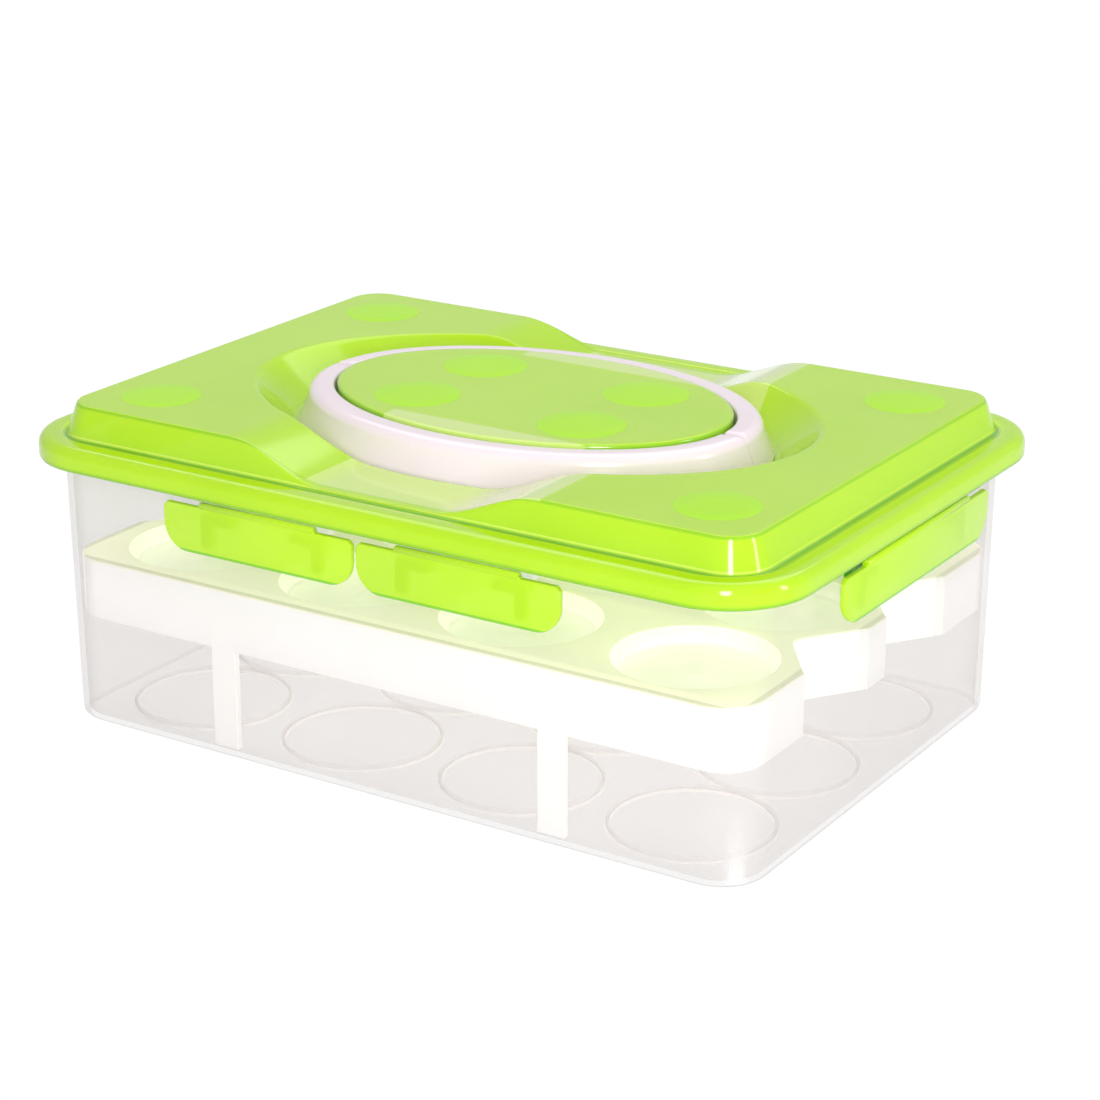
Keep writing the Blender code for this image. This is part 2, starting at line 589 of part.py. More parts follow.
def make_latch(name, centre, width, turn, parts, cutters):
    """A flap on its hinge axis, with the two hooks that reach under the tub's lugs."""
    half_thick = LATCH_THICKNESS / 2
    face = side_distance(turn, RIM_HALF_X, RIM_HALF_Y) + LATCH_PROUD
    upright = Matrix.Rotation(math.radians(90), 4, "X")
    latch = prism(name, parts, latch_outline(width), -half_thick, half_thick, upright)
    web = LATCH_WEB_WIDTH + (width - LONG_SIDE_LATCH_WIDTH) - 2 * JOIN_OVERLAP
    bead = bmesh.new()
    along_x = Matrix.Rotation(math.radians(90), 4, "Y")
    bead_radius = half_thick + HINGE_BEAD_PROUD
    bmesh.ops.create_cone(bead, cap_ends=True, segments=PIN_SEGMENTS, radius1=bead_radius,
                          radius2=bead_radius, depth=web, matrix=along_x)
    combine(latch, object_from_bmesh(bead, "bead", cutters), "UNION")
    axis_y = face - half_thick
    wall = side_distance(turn, *tub_half(LUG_FOOT, 0))
    hook_tip = axis_y - (wall + LUG_REACH - CATCH_OVERLAP)
    hook_top = LUG_FOOT - CATCH_GAP - LATCH_AXIS_HEIGHT
    root = half_thick - JOIN_OVERLAP
    hooks = bmesh.new()
    ribs = bmesh.new()
    for offset in catch_centres(width):
        outward = math.copysign(LUG_LENGTH / 2, offset)
        join_bmesh_box(hooks, (offset - LUG_LENGTH / 2, root, hook_top - CATCH_THICKNESS),
                       (offset + LUG_LENGTH / 2, hook_tip, hook_top))
        ends = sorted((offset + outward, offset + outward - math.copysign(CATCH_RIB_WIDTH, offset)))
        join_bmesh_box(ribs, (ends[0], root, hook_top - CATCH_THICKNESS - CATCH_RIB_DROP),
                       (ends[1], half_thick + CATCH_RIB_REACH, hook_top - CATCH_THICKNESS + JOIN_OVERLAP))
    combine(latch, object_from_bmesh(hooks, "hooks", cutters), "UNION")
    combine(latch, object_from_bmesh(ribs, "ribs", cutters), "UNION")
    place = turned(turn) @ Matrix.Translation((centre, -axis_y, LATCH_AXIS_HEIGHT))
    latch.matrix_world = place
    return latch


def bail_profile(inset):
    """The bail's section as (outward, up) points about the middle of its top, inset all round.

    The outer side leans outwards towards the foot by BAIL_FOOT_FLARE.
    """
    outer = BAIL_BAND_WIDTH / 2 - inset
    top = -inset
    overrun = CUT_OVERRUN if inset else 0.0
    lean = BAIL_FOOT_FLARE / (BAIL_HEIGHT - BAIL_OUTER_ROUND)
    foot = -BAIL_HEIGHT - overrun
    outer_round = max(BAIL_OUTER_ROUND - inset, BAIL_INNER_ROUND)
    points = [(-outer, foot), (outer + BAIL_FOOT_FLARE + lean * overrun, foot)]
    points += arc((outer - outer_round, top - outer_round), outer_round, 0, 90, EDGE_SEGMENTS + 1)
    points += arc((-outer + BAIL_INNER_ROUND, top - BAIL_INNER_ROUND), BAIL_INNER_ROUND, 90, 180,
                  EDGE_SEGMENTS - 1)
    return points


def sweep_half_oval(name, collection, cutters, profile, shorten):
    """Sweeps a section along the half oval at -Y, stopping shorten before its ends."""
    middle_x = (BAIL_INSIDE_LENGTH + BAIL_BAND_WIDTH) / 2
    middle_y = (BAIL_INSIDE_WIDTH + BAIL_BAND_WIDTH) / 2
    section = bpy.data.curves.new(name + "_section", "CURVE")
    outline = section.splines.new("POLY")
    outline.points.add(len(profile) - 1)
    for point, (out, up) in zip(outline.points, profile):
        point.co = (out, up, 0.0, 1.0)
    outline.use_cyclic_u = True
    section_item = mark_cutter(bpy.data.objects.new(name + "_section", section))
    cutters.objects.link(section_item)
    path = bpy.data.curves.new(name + "_path", "CURVE")
    path.dimensions = "3D"
    path.twist_mode = "Z_UP"
    path.bevel_mode = "OBJECT"
    path.bevel_object = section_item
    path.use_fill_caps = True
    spline = path.splines.new("POLY")
    spline.points.add(BAIL_PATH_POINTS - 1)
    start = math.asin((BAIL_SEAM_GAP / 2 + shorten) / middle_y)
    for step, point in enumerate(spline.points):
        angle = start + (math.pi - 2 * start) * step / (BAIL_PATH_POINTS - 1)
        point.co = (-middle_x * math.cos(angle), -middle_y * math.sin(angle), BAIL_TOP, 1.0)
    curve_item = bpy.data.objects.new(name + "_path", path)
    cutters.objects.link(curve_item)
    bpy.context.view_layer.update()
    evaluated = curve_item.evaluated_get(bpy.context.evaluated_depsgraph_get())
    mesh = bpy.data.meshes.new_from_object(evaluated)
    bm = bmesh.new()
    bm.from_mesh(mesh)
    bmesh.ops.remove_doubles(bm, verts=bm.verts, dist=JOIN_OVERLAP / 10)
    bpy.data.objects.remove(curve_item, do_unlink=True)
    bpy.data.objects.remove(section_item, do_unlink=True)
    bpy.data.meshes.remove(mesh)
    return object_from_bmesh(bm, name, collection)


def tip_trims(cutters):
    """Cutters that end both tips at the seam and round their top corners."""
    near = -BAIL_SEAM_GAP / 2 - BAIL_TIP_RADIUS
    low = BAIL_TOP - BAIL_TIP_RADIUS
    above = BAIL_TOP + CUT_OVERRUN
    below = BAIL_TOP - BAIL_HEIGHT - CUT_OVERRUN
    outline = arc((near, low), BAIL_TIP_RADIUS, 0, 90, EDGE_SEGMENTS + 1)
    outline += [(near, above), (CUT_OVERRUN, above), (CUT_OVERRUN, below), (-BAIL_SEAM_GAP / 2, below)]
    stand = Matrix(((0, 0, 1, 0), (1, 0, 0, 0), (0, 1, 0, 0), (0, 0, 0, 1)))
    joined = bmesh.new()
    middle = (BAIL_INSIDE_LENGTH + BAIL_BAND_WIDTH) / 2
    for end in (-1, 1):
        piece = prism("tip", cutters, outline, end * middle - BAIL_BAND_WIDTH, end * middle + BAIL_BAND_WIDTH,
                      stand)
        joined.from_mesh(piece.data)
        bpy.data.objects.remove(piece, do_unlink=True)
    return object_from_bmesh(joined, "tip_trims", cutters)


def make_bail(name, turn, parts, cutters):
    """Half of the carrying handle, with a channel underneath and a pin at each end."""
    bail = sweep_half_oval(name, parts, cutters, bail_profile(0.0), -JOIN_OVERLAP)
    channel = sweep_half_oval("channel", cutters, cutters, bail_profile(BAIL_WALL), BAIL_SOLID_END)
    combine(bail, channel, "DIFFERENCE")
    combine(bail, tip_trims(cutters), "DIFFERENCE")
    pins = bmesh.new()
    along_x = Matrix.Rotation(math.radians(90), 4, "Y")
    inner_end = PLATEAU_LENGTH / 2 - LID_WALL - PIN_REACH
    outer_end = (BAIL_INSIDE_LENGTH + BAIL_BAND_WIDTH) / 2
    for end in (-1, 1):
        place = Matrix.Translation((end * (inner_end + outer_end) / 2, -PIN_FROM_SEAM, PIN_HEIGHT))
        bmesh.ops.create_cone(pins, cap_ends=True, segments=PIN_SEGMENTS, radius1=PIN_DIAMETER / 2,
                              radius2=PIN_DIAMETER / 2, depth=outer_end - inner_end, matrix=place @ along_x)
    combine(bail, object_from_bmesh(pins, "pins", cutters), "UNION")
    axis = Vector((0.0, -PIN_FROM_SEAM, PIN_HEIGHT))
    bail.data.transform(Matrix.Translation(-axis))
    bail.matrix_world = turned(turn) @ Matrix.Translation(axis)
    return bail


def finish(item, material, sharp_degrees):
    item.data.materials.clear()
    item.data.materials.append(material)
    item.data.shade_smooth()
    item.data.set_sharp_from_angle(angle=math.radians(sharp_degrees))


def main():
    clear_scene()
    parts = make_collection("egg_storage_box")
    cutters = make_collection("cutters")
    clear = make_material("clear_tub_plastic", COLOURS["clear"], 0.12)
    white = make_material("white_tray_plastic", COLOURS["white"], 0.4)
    green = make_material("green_lid_plastic", COLOURS["green"], 0.2)
    bright = make_material("green_latch_plastic", COLOURS["bright_green"], 0.2)
    pale = make_material("white_handle_plastic", COLOURS["handle_white"], 0.3)
    finish(make_tub(parts, cutters), clear, 30)
    finish(make_tray(parts, cutters), white, 30)
    finish(make_lid(parts, cutters), green, 30)
    for name, centre, width, turn in latch_places():
        finish(make_latch(name, centre, width, turn, parts, cutters), bright, 40)
    for name, turn in (("handle_front", 0), ("handle_back", 180)):
        finish(make_bail(name, turn, parts, cutters), pale, 40)


main()
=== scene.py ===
# %% [markdown]
# An egg storage box, dressed for its picture.
# The real thing is five kinds of moulded plastic part: a clear tub, a white egg tray on
# four legs, a lime green lid you can half see through, its latches, and a white handle
# in two halves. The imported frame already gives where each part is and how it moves, so
# this lesson only makes finer surfaces in the same places and gives them their plastics.

# %% Load the frame
import math

import bmesh
import bpy
from mathutils import Matrix, Vector


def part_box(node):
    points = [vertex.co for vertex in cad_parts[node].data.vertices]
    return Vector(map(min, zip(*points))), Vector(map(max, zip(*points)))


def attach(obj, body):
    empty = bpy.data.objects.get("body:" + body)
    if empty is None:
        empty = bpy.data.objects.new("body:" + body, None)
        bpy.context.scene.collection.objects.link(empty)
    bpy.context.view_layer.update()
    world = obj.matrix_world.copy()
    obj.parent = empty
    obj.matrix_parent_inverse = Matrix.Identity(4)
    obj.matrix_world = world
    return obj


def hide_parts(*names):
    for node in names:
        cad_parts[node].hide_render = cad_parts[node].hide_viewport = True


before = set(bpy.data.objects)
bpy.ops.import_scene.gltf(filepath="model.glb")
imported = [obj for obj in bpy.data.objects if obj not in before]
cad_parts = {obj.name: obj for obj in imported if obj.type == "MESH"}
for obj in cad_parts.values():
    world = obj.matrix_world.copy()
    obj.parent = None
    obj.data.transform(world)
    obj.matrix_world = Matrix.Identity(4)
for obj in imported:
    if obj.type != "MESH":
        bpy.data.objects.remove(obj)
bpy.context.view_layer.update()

for node in sorted(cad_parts):
    low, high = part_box(node)
    print(node, [round((b - a) * 1000, 1) for a, b in zip(low, high)], "mm")

# %% [markdown]
# Sizes first. They are the sizes of the frame's own parts, in metres, written once with
# names so that every later cell can say what it means. The origin is the middle of the
# tub's underside and the side with two latches faces -Y.

# %% Sizes
COLUMNS, ROWS = 4, 3
PITCH_X, PITCH_Y = 0.0665, 0.0585

TUB_HALF = (0.1385, 0.0955)
TUB_FLARE = 0.001
TUB_HEIGHT = 0.1028
TUB_WALL = 0.002
TUB_CORNER = 0.017
LIP_HALF = (0.1472, 0.1039)
LIP_CORNER = 0.0275
RING_RADIUS = 0.0278
BEAD_HALF_WIDTH, BEAD_RISE = 0.000588, 0.0009

TRAY_HALF = (0.1359, 0.0929)
TRAY_TOP = 0.0605
TRAY_SKIRT_FOOT = 0.0385
TRAY_CORNER = 0.0144
TRAY_WALL = 0.002
DISH_RIM, DISH_FLOOR, DISH_DEPTH = 0.0275, 0.0252, 0.006
NOTCH_HALF_WIDTH, NOTCH_DEPTH, NOTCH_TIP = 0.0215, 0.017, 0.006
LEG_WIDTH, LEG_THICK, LEG_FOOT = 0.0105, 0.0026, 0.0023

RIM_HALF = (0.1497, 0.1064)
RIM_FOOT, RIM_TOP = 0.0967, 0.1052
RIM_CORNER = 0.03
PLATFORM_TOP = 0.1158
PLATFORM_FOOT_INSET, PLATFORM_TOP_INSET = 0.0118, 0.0152
PLATFORM_FOOT_CORNER, PLATFORM_TOP_CORNER = 0.0145, 0.0115
BOWL_TOP, BOWL_BED = (0.107, 0.073), (0.091, 0.0655)
BOWL_FLOOR = 0.1027
PLATEAU = (0.075, 0.051)
PLATEAU_TOP = 0.1174
VALLEY_FLOOR = 0.1055
VALLEY_HALF_FLOOR, VALLEY_HALF_TOP = 0.022, 0.062
LID_WALL = 0.002

LATCH_AXIS = 0.0951
LATCH_THICK = 0.0022
LATCH_FOOT = 0.0780
LATCH_CORNER = 0.0095
LATCH_WEB = 0.048
LATCH_CENTRE = 0.0396
LONG_LATCH, SHORT_LATCH = 0.0776, 0.1062
LUG_FOOT, LUG_THICK, LUG_LENGTH, LUG_REACH = 0.0918, 0.0025, 0.0125, 0.0035
CATCH_TOP, CATCH_FOOT, CATCH_REACH = 0.0915, 0.0883, 0.0070
CATCH_OFFSET = 0.0185
RIB_WIDTH, RIB_FOOT, RIB_REACH = 0.004, 0.0798, 0.0039

BAIL_INSIDE = (0.0762, 0.0515)
BAIL_BAND, BAIL_HEIGHT, BAIL_FLARE = 0.0094, 0.0128, 0.0037
BAIL_TOP = 0.1165
BAIL_OUTER_ROUND, BAIL_INNER_ROUND = 0.0042, 0.0012
BAIL_WALL, BAIL_SOLID_END = 0.0022, 0.012
SEAM_HALF = 0.00015
PIN_Y, PIN_Z, PIN_RADIUS = 0.0036, 0.113, 0.0018
TIP_RADIUS = 0.0034
print("cells", COLUMNS * ROWS, "on each level, pitch", PITCH_X, "by", PITCH_Y)

# %% [markdown]
# Materials are node trees, and long rows of Math nodes are hard to read. So one small
# class wraps a socket and lets plus, minus and times make the nodes, and one method
# makes every other kind of node from its type, its settings and its sockets' values.

# %% A socket that does sums, and one maker of nodes
class Signal:
    """A number socket of a tree that can be used in a Python expression."""

    def __init__(self, maker, socket):
        self.maker = maker
        self.socket = socket

    def math(self, operation, first, second):
        made = self.maker.node("ShaderNodeMath", {"operation": operation}, {0: first, 1: second})
        return Signal(self.maker, made.outputs[0])

    def __add__(self, other):
        return self.math("ADD", self, other)

    def __radd__(self, other):
        return self.math("ADD", other, self)

    def __sub__(self, other):
        return self.math("SUBTRACT", self, other)

    def __mul__(self, other):
        return self.math("MULTIPLY", self, other)

    def above(self, limit):
        return self.math("GREATER_THAN", self, limit)

    def below(self, limit):
        return self.math("LESS_THAN", self, limit)

    def size(self):
        return self.math("ABSOLUTE", self, 0.0)


class Maker:
    """Makes nodes in one tree."""

    def __init__(self, tree):
        self.tree = tree
        tree.nodes.clear()

    def node(self, kind, settings=None, inputs=None):
        made = self.tree.nodes.new(kind)
        for name, value in (settings or {}).items():
            setattr(made, name, value)
        for name, value in (inputs or {}).items():
            socket = made.inputs[name]
            if isinstance(value, Signal):
                value = value.socket
            if isinstance(value, bpy.types.NodeSocket):
                self.tree.links.new(value, socket)
            else:
                socket.default_value = value
        return made

    def signal(self, made, name=0):
        return Signal(self, made.outputs[name])


# %% [markdown]
# Every plastic here is one recipe with other numbers: a colour that drifts a little, as
# moulded plastic does where it is thicker, a roughness that varies with handling, and a
# very low wave in the surface that breaks up its reflections. The pattern is read from
# Object coordinates, so it stays on the piece when the piece moves. The recipe can also
# paint light into the colour: belts of painted shade and painted tint, painted highlights
# and painted shade as lines along edges, a painted sheen in hollows and a painted
# highlight on corners. The tray and the clear rings also glow a little, which is painted
# light that keeps them almost white.

# %% One recipe for moulded plastic
def linear(red, green, blue):
    """A screen colour of 0 to 255 as the linear colour a shader takes."""
    return tuple((value / 255 / 12.92 if value <= 10 else ((value / 255 + 0.055) / 1.055) ** 2.4)
                 for value in (red, green, blue)) + (1.0,)


# Painted light on the lid: pale highlight lines and dark shade lines along its edges.
PAINTED_HIGHLIGHT_LINE, PAINTED_SHADE_LINE = linear(234, 255, 110), linear(104, 186, 0)
# A painted sheen: the paler colour mixed into the lid's valleys.
PAINTED_SHEEN_COLOUR, PAINTED_SHEEN_SHARE = linear(240, 255, 150), 0.45
# A painted highlight: white on the tub's corners, fading out higher up.
PAINTED_HIGHLIGHT_COLOUR, PAINTED_HIGHLIGHT_ALPHA, PAINTED_HIGHLIGHT_HEIGHT = linear(255, 255, 255), 0.3, 0.03
# Painted light: the weaker glow of the tray's skirt.
SKIRT_PAINTED_GLOW = (0.35, 0.34, 0.33, 1.0)


def plastic(name, colour, deep, rough, alpha, edge_alpha=0.0, wave=0.04, coat=0.0, fixed=None,
            band=None, lines=False, coat_and_painted_sheen=None, painted_corner_highlight=None, glow=None):
    """Principled plastic. edge_alpha is added where the surface turns away from the eye.

    band is (low, high, colour), a belt of another colour between two heights; every belt
    here is painted light or shade. lines says that the mesh has the attribute "line", which
    draws painted highlights (pale) and painted shade (dark). coat_and_painted_sheen is (low,
    left, right, near y, far y), the hollows that get a full coat and a paler colour, which is
    a painted sheen. painted_corner_highlight is (start, end) of the sum of the distances from
    both middle planes, at the floor's height, over which a corner of the tub turns white, a
    painted highlight that is weaker higher up. glow is (half x, half y, colour), the emission
    of what lies inside the tray's skirt, which itself has a weaker one; both are painted light.
    """
    material = bpy.data.materials.new(name)
    material.use_nodes = True
    maker = Maker(material.node_tree)
    place = maker.node("ShaderNodeTexCoord")

    def noise(scale, detail, rough):
        values = {"Vector": place.outputs["Object"], "Scale": scale, "Detail": detail, "Roughness": rough}
        return maker.signal(maker.node("ShaderNodeTexNoise", None, values), "Fac")

    drift, fine = noise(22.0, 2.0, 0.5), noise(900.0, 2.0, 0.6)
    axes = maker.node("ShaderNodeSeparateXYZ", None, {0: place.outputs["Object"]})
    across, along, height = (maker.signal(axes, axis) for axis in "XYZ")

    def mixed_in(share, first, second):
        values = {0: share, 6: first, 7: second}
        return maker.node("ShaderNodeMix", {"data_type": "RGBA"}, values).outputs[2]

    mixed = mixed_in(drift, colour, deep)
    # A belt of another colour; every belt here is painted light or shade.
    if band:
        mixed = mixed_in(height.above(band[0]) * height.below(band[1]), mixed, band[2])
    # Painted highlights (pale) and painted shade (dark), as lines along the lid's edges.
    if lines:
        line = maker.signal(maker.node("ShaderNodeAttribute", {"attribute_name": "line"}), "Fac")
        mixed = mixed_in(line.math("MAXIMUM", line, 0.0), mixed, PAINTED_HIGHLIGHT_LINE)
        mixed = mixed_in(line.math("MAXIMUM", line * -1.0, 0.0), mixed, PAINTED_SHADE_LINE)
    # A full coat, and a paler colour that is a painted sheen.
    if coat_and_painted_sheen:
        low, left, right, near_y, far_y = coat_and_painted_sheen
        inside = height.above(low) * across.above(left) * across.below(right)
        inside = inside * along.size().above(near_y) * along.size().below(far_y)
        coat = coat + inside * (1.0 - coat)
        mixed = mixed_in(inside * PAINTED_SHEEN_SHARE, mixed, PAINTED_SHEEN_COLOUR)
    corner = None
    # Painted highlight: the tub's corners turn white and less clear near the floor.
    if painted_corner_highlight:
        out = across.size() + along.size() - height * (2 * TUB_FLARE / TUB_HEIGHT)
        corner = (out - painted_corner_highlight[0]) * (1 / (painted_corner_highlight[1] - painted_corner_highlight[0]))
        corner = corner.math("MAXIMUM", corner, 0.0)
        fade = height * (-1 / PAINTED_HIGHLIGHT_HEIGHT) + 1.0
        corner = corner.math("MINIMUM", corner, 1.0) * fade.math("MAXIMUM", fade, 0.0)
        mixed = mixed_in(corner, mixed, PAINTED_HIGHLIGHT_COLOUR)
    height_map = noise(9.0, 1.0, 0.5) + fine * 0.02
    bump = maker.node("ShaderNodeBump", None, {"Strength": wave, "Distance": 0.002, "Height": height_map})
    inputs = {"Base Color": mixed, "Roughness": rough + (drift - 0.5) * 0.08 + (fine - 0.5) * 0.05,
              "IOR": 1.49, "Coat Weight": coat, "Coat Roughness": 0.08, "Normal": bump.outputs[0]}
    inputs.update(fixed or {})
    # Painted light: the tray glows, strongly inside its skirt and weakly on it.
    if glow:
        inside = across.size().below(glow[0]) * along.size().below(glow[1])
        inputs["Emission Color"] = mixed_in(inside, SKIRT_PAINTED_GLOW, glow[2])
    if alpha < 1.0:
        facing = maker.signal(maker.node("ShaderNodeLayerWeight", None, {"Blend": 0.25}), "Facing")
        inputs["Alpha"] = alpha + facing * edge_alpha
        if corner:
            inputs["Alpha"] = inputs["Alpha"] + corner * PAINTED_HIGHLIGHT_ALPHA
        material.use_transparency_overlap = True
    shader = maker.node("ShaderNodeBsdfPrincipled", None, inputs)
    maker.node("ShaderNodeOutputMaterial", None, {"Surface": shader.outputs[0]})
    material.diffuse_color = colour[:3] + (alpha,)
    return material


# The tub's lowest 0.9 mm is a dark grey belt, a painted contact shadow, and its corners turn white near the
# floor, a painted highlight.
CLEAR = plastic("clear tub", linear(216, 208, 208), linear(208, 200, 198), 0.08, 0.12, 0.34, wave=0.05,
                band=(0.00005, 0.0009, linear(118, 116, 122)), painted_corner_highlight=(0.2231, 0.224))
CLEAR_BEAD = plastic("clear bead", linear(252, 248, 250), linear(244, 240, 244), 0.15, 0.12, 0.3)
# The rings' emission is painted light that keeps them pale.
CLEAR_RING_PAINTED_GLOW = plastic("clear raised ring", linear(255, 252, 254), linear(246, 242, 247), 0.2, 0.45, 0.3,
                     fixed={"Emission Color": (1.0, 0.98, 0.97, 1.0), "Emission Strength": 0.3})
# The tray: a cream belt on the plate's top, painted light tinted by the lime lid, and a glow that is painted
# light.
TRAY_INSIDE = [half - TRAY_WALL - 0.0005 for half in TRAY_HALF]
TRAY_WHITE = plastic("white tray", linear(255, 255, 255), linear(250, 250, 247), 0.32, 1.0, coat=0.1,
                     band=(TRAY_TOP - 0.0006, TRAY_TOP + 0.001, linear(255, 250, 216)),
                     glow=(*TRAY_INSIDE, (1.0, 0.95, 0.78, 1.0)),
                     fixed={"Emission Strength": 0.46})
# The lid gets painted highlights and painted shade as lines along its edges, and a painted sheen in its
# valleys.
LIME = plastic("lime lid", linear(194, 237, 8), linear(182, 230, 2), 0.12, 0.84, 0.1, coat=0.15, lines=True,
               coat_and_painted_sheen=(RIM_TOP + 0.00015, -0.03, 0.0615, 0.04, RIM_HALF[1] - PLATFORM_TOP_INSET),
               fixed={"Subsurface Weight": 0.15, "Subsurface Radius": (0.004, 0.006, 0.001)})
# The latch's lowest 1.1 mm is a darker green belt, painted shade along its lower edge.
LIME_LATCH = plastic("lime latch", linear(204, 246, 10), linear(188, 238, 2), 0.12, 0.76, 0.12, coat=0.2,
                     band=(0.0, LATCH_FOOT + 0.0011, linear(132, 214, 0)))
LIME_DOT = plastic("deep lime dot", linear(192, 253, 6), linear(184, 249, 2), 0.24, 0.86,
                   fixed={"Specular IOR Level": 0.25})
# The hooks and ribs get a far darker green than the latch: painted shade.
LIME_CATCH_PAINTED_SHADE = plastic("lime catch with painted shade", linear(62, 186, 0), linear(52, 176, 0), 0.25, 0.95)
HANDLE_WHITE = plastic("white handle", linear(244, 231, 238), linear(240, 223, 233), 0.22, 1.0, coat=0.3,
                       fixed={"Subsurface Weight": 0.1, "Subsurface Radius": (0.003, 0.003, 0.003)})
print("materials", [material.name for material in bpy.data.materials])

# %% [markdown]
# The tub and the lid are both built from closed rings, one inside or above the next, with
# a skin of four-sided faces between them. A rounded rectangle is drawn with the same
# number of points whatever its size, so its corners line up with the next ring's corners
# and shade smoothly. An oval gets its points on the same rays.

# %% Rings and skins
SIDE_X_STEPS, SIDE_Y_STEPS, CORNER_STEPS = 116, 44, 12


def rectangle_ring(half, radius, height):
    """Points of a rounded rectangle, from the low end of the +X side, counter-clockwise."""
    points = []
    for turn, (reach, spread, steps) in enumerate(((0, 1, SIDE_Y_STEPS), (1, 0, SIDE_X_STEPS)) * 2):
        quarter = Matrix.Rotation(math.radians(90 * turn), 2)
        along = half[spread] - radius
        out = half[reach]
        for step in range(steps):
            points.append(quarter @ Vector((out, along * (2 * step / steps - 1))))
        for step in range(CORNER_STEPS):
            angle = math.radians(90 * step / CORNER_STEPS)
            centre = Vector((out - radius, along))
            points.append(quarter @ (centre + radius * Vector((math.cos(angle), math.sin(angle)))))
    return [Vector((point.x, point.y, height)) for point in points]


def oval_ring(half, height):
    """Points of an oval on the same rays as a platform-sized rounded rectangle."""
    inset = PLATFORM_TOP_INSET
    guide = rectangle_ring((RIM_HALF[0] - inset, RIM_HALF[1] - inset), PLATFORM_TOP_CORNER, 0.0)
    points = []
    for point in guide:
        angle = math.atan2(point.y / half[1], point.x / half[0])
        points.append(Vector((half[0] * math.cos(angle), half[1] * math.sin(angle), height)))
    return points


def skin(name, rings, close_first=True, close_last=True):
    """One closed surface through a list of rings with equal numbers of points."""
    bm = bmesh.new()
    loops = [[bm.verts.new(point) for point in ring] for ring in rings]
    count = len(rings[0])
    for lower, upper in zip(loops, loops[1:]):
        for step in range(count):
            after = (step + 1) % count
            bm.faces.new((lower[step], lower[after], upper[after], upper[step]))
    for loop, wanted in ((loops[0], close_first), (loops[-1], close_last)):
        if wanted:
            middle = bm.verts.new(sum((vert.co for vert in loop), Vector()) / count)
            for step in range(count):
                bm.faces.new((loop[step], loop[(step + 1) % count], middle))
    return from_bmesh(name, bm)


def from_bmesh(name, bm):
    """Makes an object of a bmesh, with its faces pointing outwards and smooth."""
    bmesh.ops.recalc_face_normals(bm, faces=bm.faces)
    mesh = bpy.data.meshes.new(name)
    bm.to_mesh(mesh)
    bm.free()
    mesh.shade_smooth()
    piece = bpy.data.objects.new(name, mesh)
    bpy.context.scene.collection.objects.link(piece)
    return piece


def applied(piece, sharp=None):
    """Replaces the mesh by its evaluated one, drops the modifiers and marks sharp edges."""
    bpy.context.view_layer.update()
    result = piece.evaluated_get(bpy.context.evaluated_depsgraph_get())
    mesh = bpy.data.meshes.new_from_object(result)
    piece.modifiers.clear()
    piece.data = mesh
    if sharp:
        mesh.set_sharp_from_angle(angle=math.radians(sharp))
    return piece


def dress(piece, material, body, slot, *nodes):
    """Gives a piece its material, its body, and the nodes it stands for. slot is not used."""
    piece.data.materials.clear()
    piece.data.materials.append(material)
    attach(piece, body)
    if nodes:
        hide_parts(*nodes)
    print(piece.name, "has", len(piece.data.polygons), "faces")
    return piece


# %% [markdown]
# The tub is a thin clear shell. Its outer skin starts under the floor, runs up the wall,
# turns outwards into the lip that the lid sits on, and comes back down inside. Every edge
# of a moulding is rounded, so the profile has short arcs instead of corners.

# %% The clear tub
def wall_ring(height, inset):
    flare = TUB_FLARE * height / TUB_HEIGHT
    half = (TUB_HALF[0] + flare - inset, TUB_HALF[1] + flare - inset)
    return rectangle_ring(half, TUB_CORNER - inset, height)


def lip_ring(shrink, height):
    return rectangle_ring((LIP_HALF[0] - shrink, LIP_HALF[1] - shrink), LIP_CORNER - shrink, height)


def arc_steps(count):
    """Pairs of cosine and sine over a quarter turn."""
    return [(math.cos(math.pi / 2 * step / count), math.sin(math.pi / 2 * step / count))
            for step in range(count + 1)]


FOOT_ROUND, EDGE_ROUND = 0.0025, 0.0008
tub_rings = [wall_ring(0.0, 0.012)]
tub_rings += [wall_ring(FOOT_ROUND * (1 - c), FOOT_ROUND * (1 - s)) for c, s in arc_steps(6)]
tub_rings += [wall_ring(height, 0.0) for height in (0.03, 0.06, 0.09, 0.0995)]
lip_foot = TUB_HEIGHT - 0.002
tub_rings += [wall_ring(lip_foot - 0.0012 * (1 - s), -0.0012 * (1 - c)) for c, s in arc_steps(3)]
tub_rings += [lip_ring(EDGE_ROUND * (1 - s), lip_foot + EDGE_ROUND * (1 - c)) for c, s in arc_steps(4)]
tub_rings += [lip_ring(EDGE_ROUND * (1 - c), TUB_HEIGHT - EDGE_ROUND * (1 - s)) for c, s in arc_steps(4)]
tub_rings += [wall_ring(TUB_HEIGHT - EDGE_ROUND * (1 - c), TUB_WALL - EDGE_ROUND * (1 - s))
              for c, s in arc_steps(4)]
tub_rings += [wall_ring(height, TUB_WALL) for height in (0.09, 0.06, 0.03)]
INNER_ROUND = 0.0005
tub_rings += [wall_ring(TUB_WALL + INNER_ROUND * (1 - s), TUB_WALL + INNER_ROUND * (1 - c))
              for c, s in arc_steps(3)]
tub_rings.append(wall_ring(TUB_WALL, TUB_WALL + 0.012))
tub = dress(skin("tub", tub_rings), CLEAR, "box", "clear_tub", "box_body")

# %% [markdown]
# What repeats over the egg cells is placed by Geometry Nodes: a grid of points at the
# cells, one small shape at each point, made real so that an exported mesh keeps them.
# The same tree serves the rings in the tub's floor and the dishes in the tray.

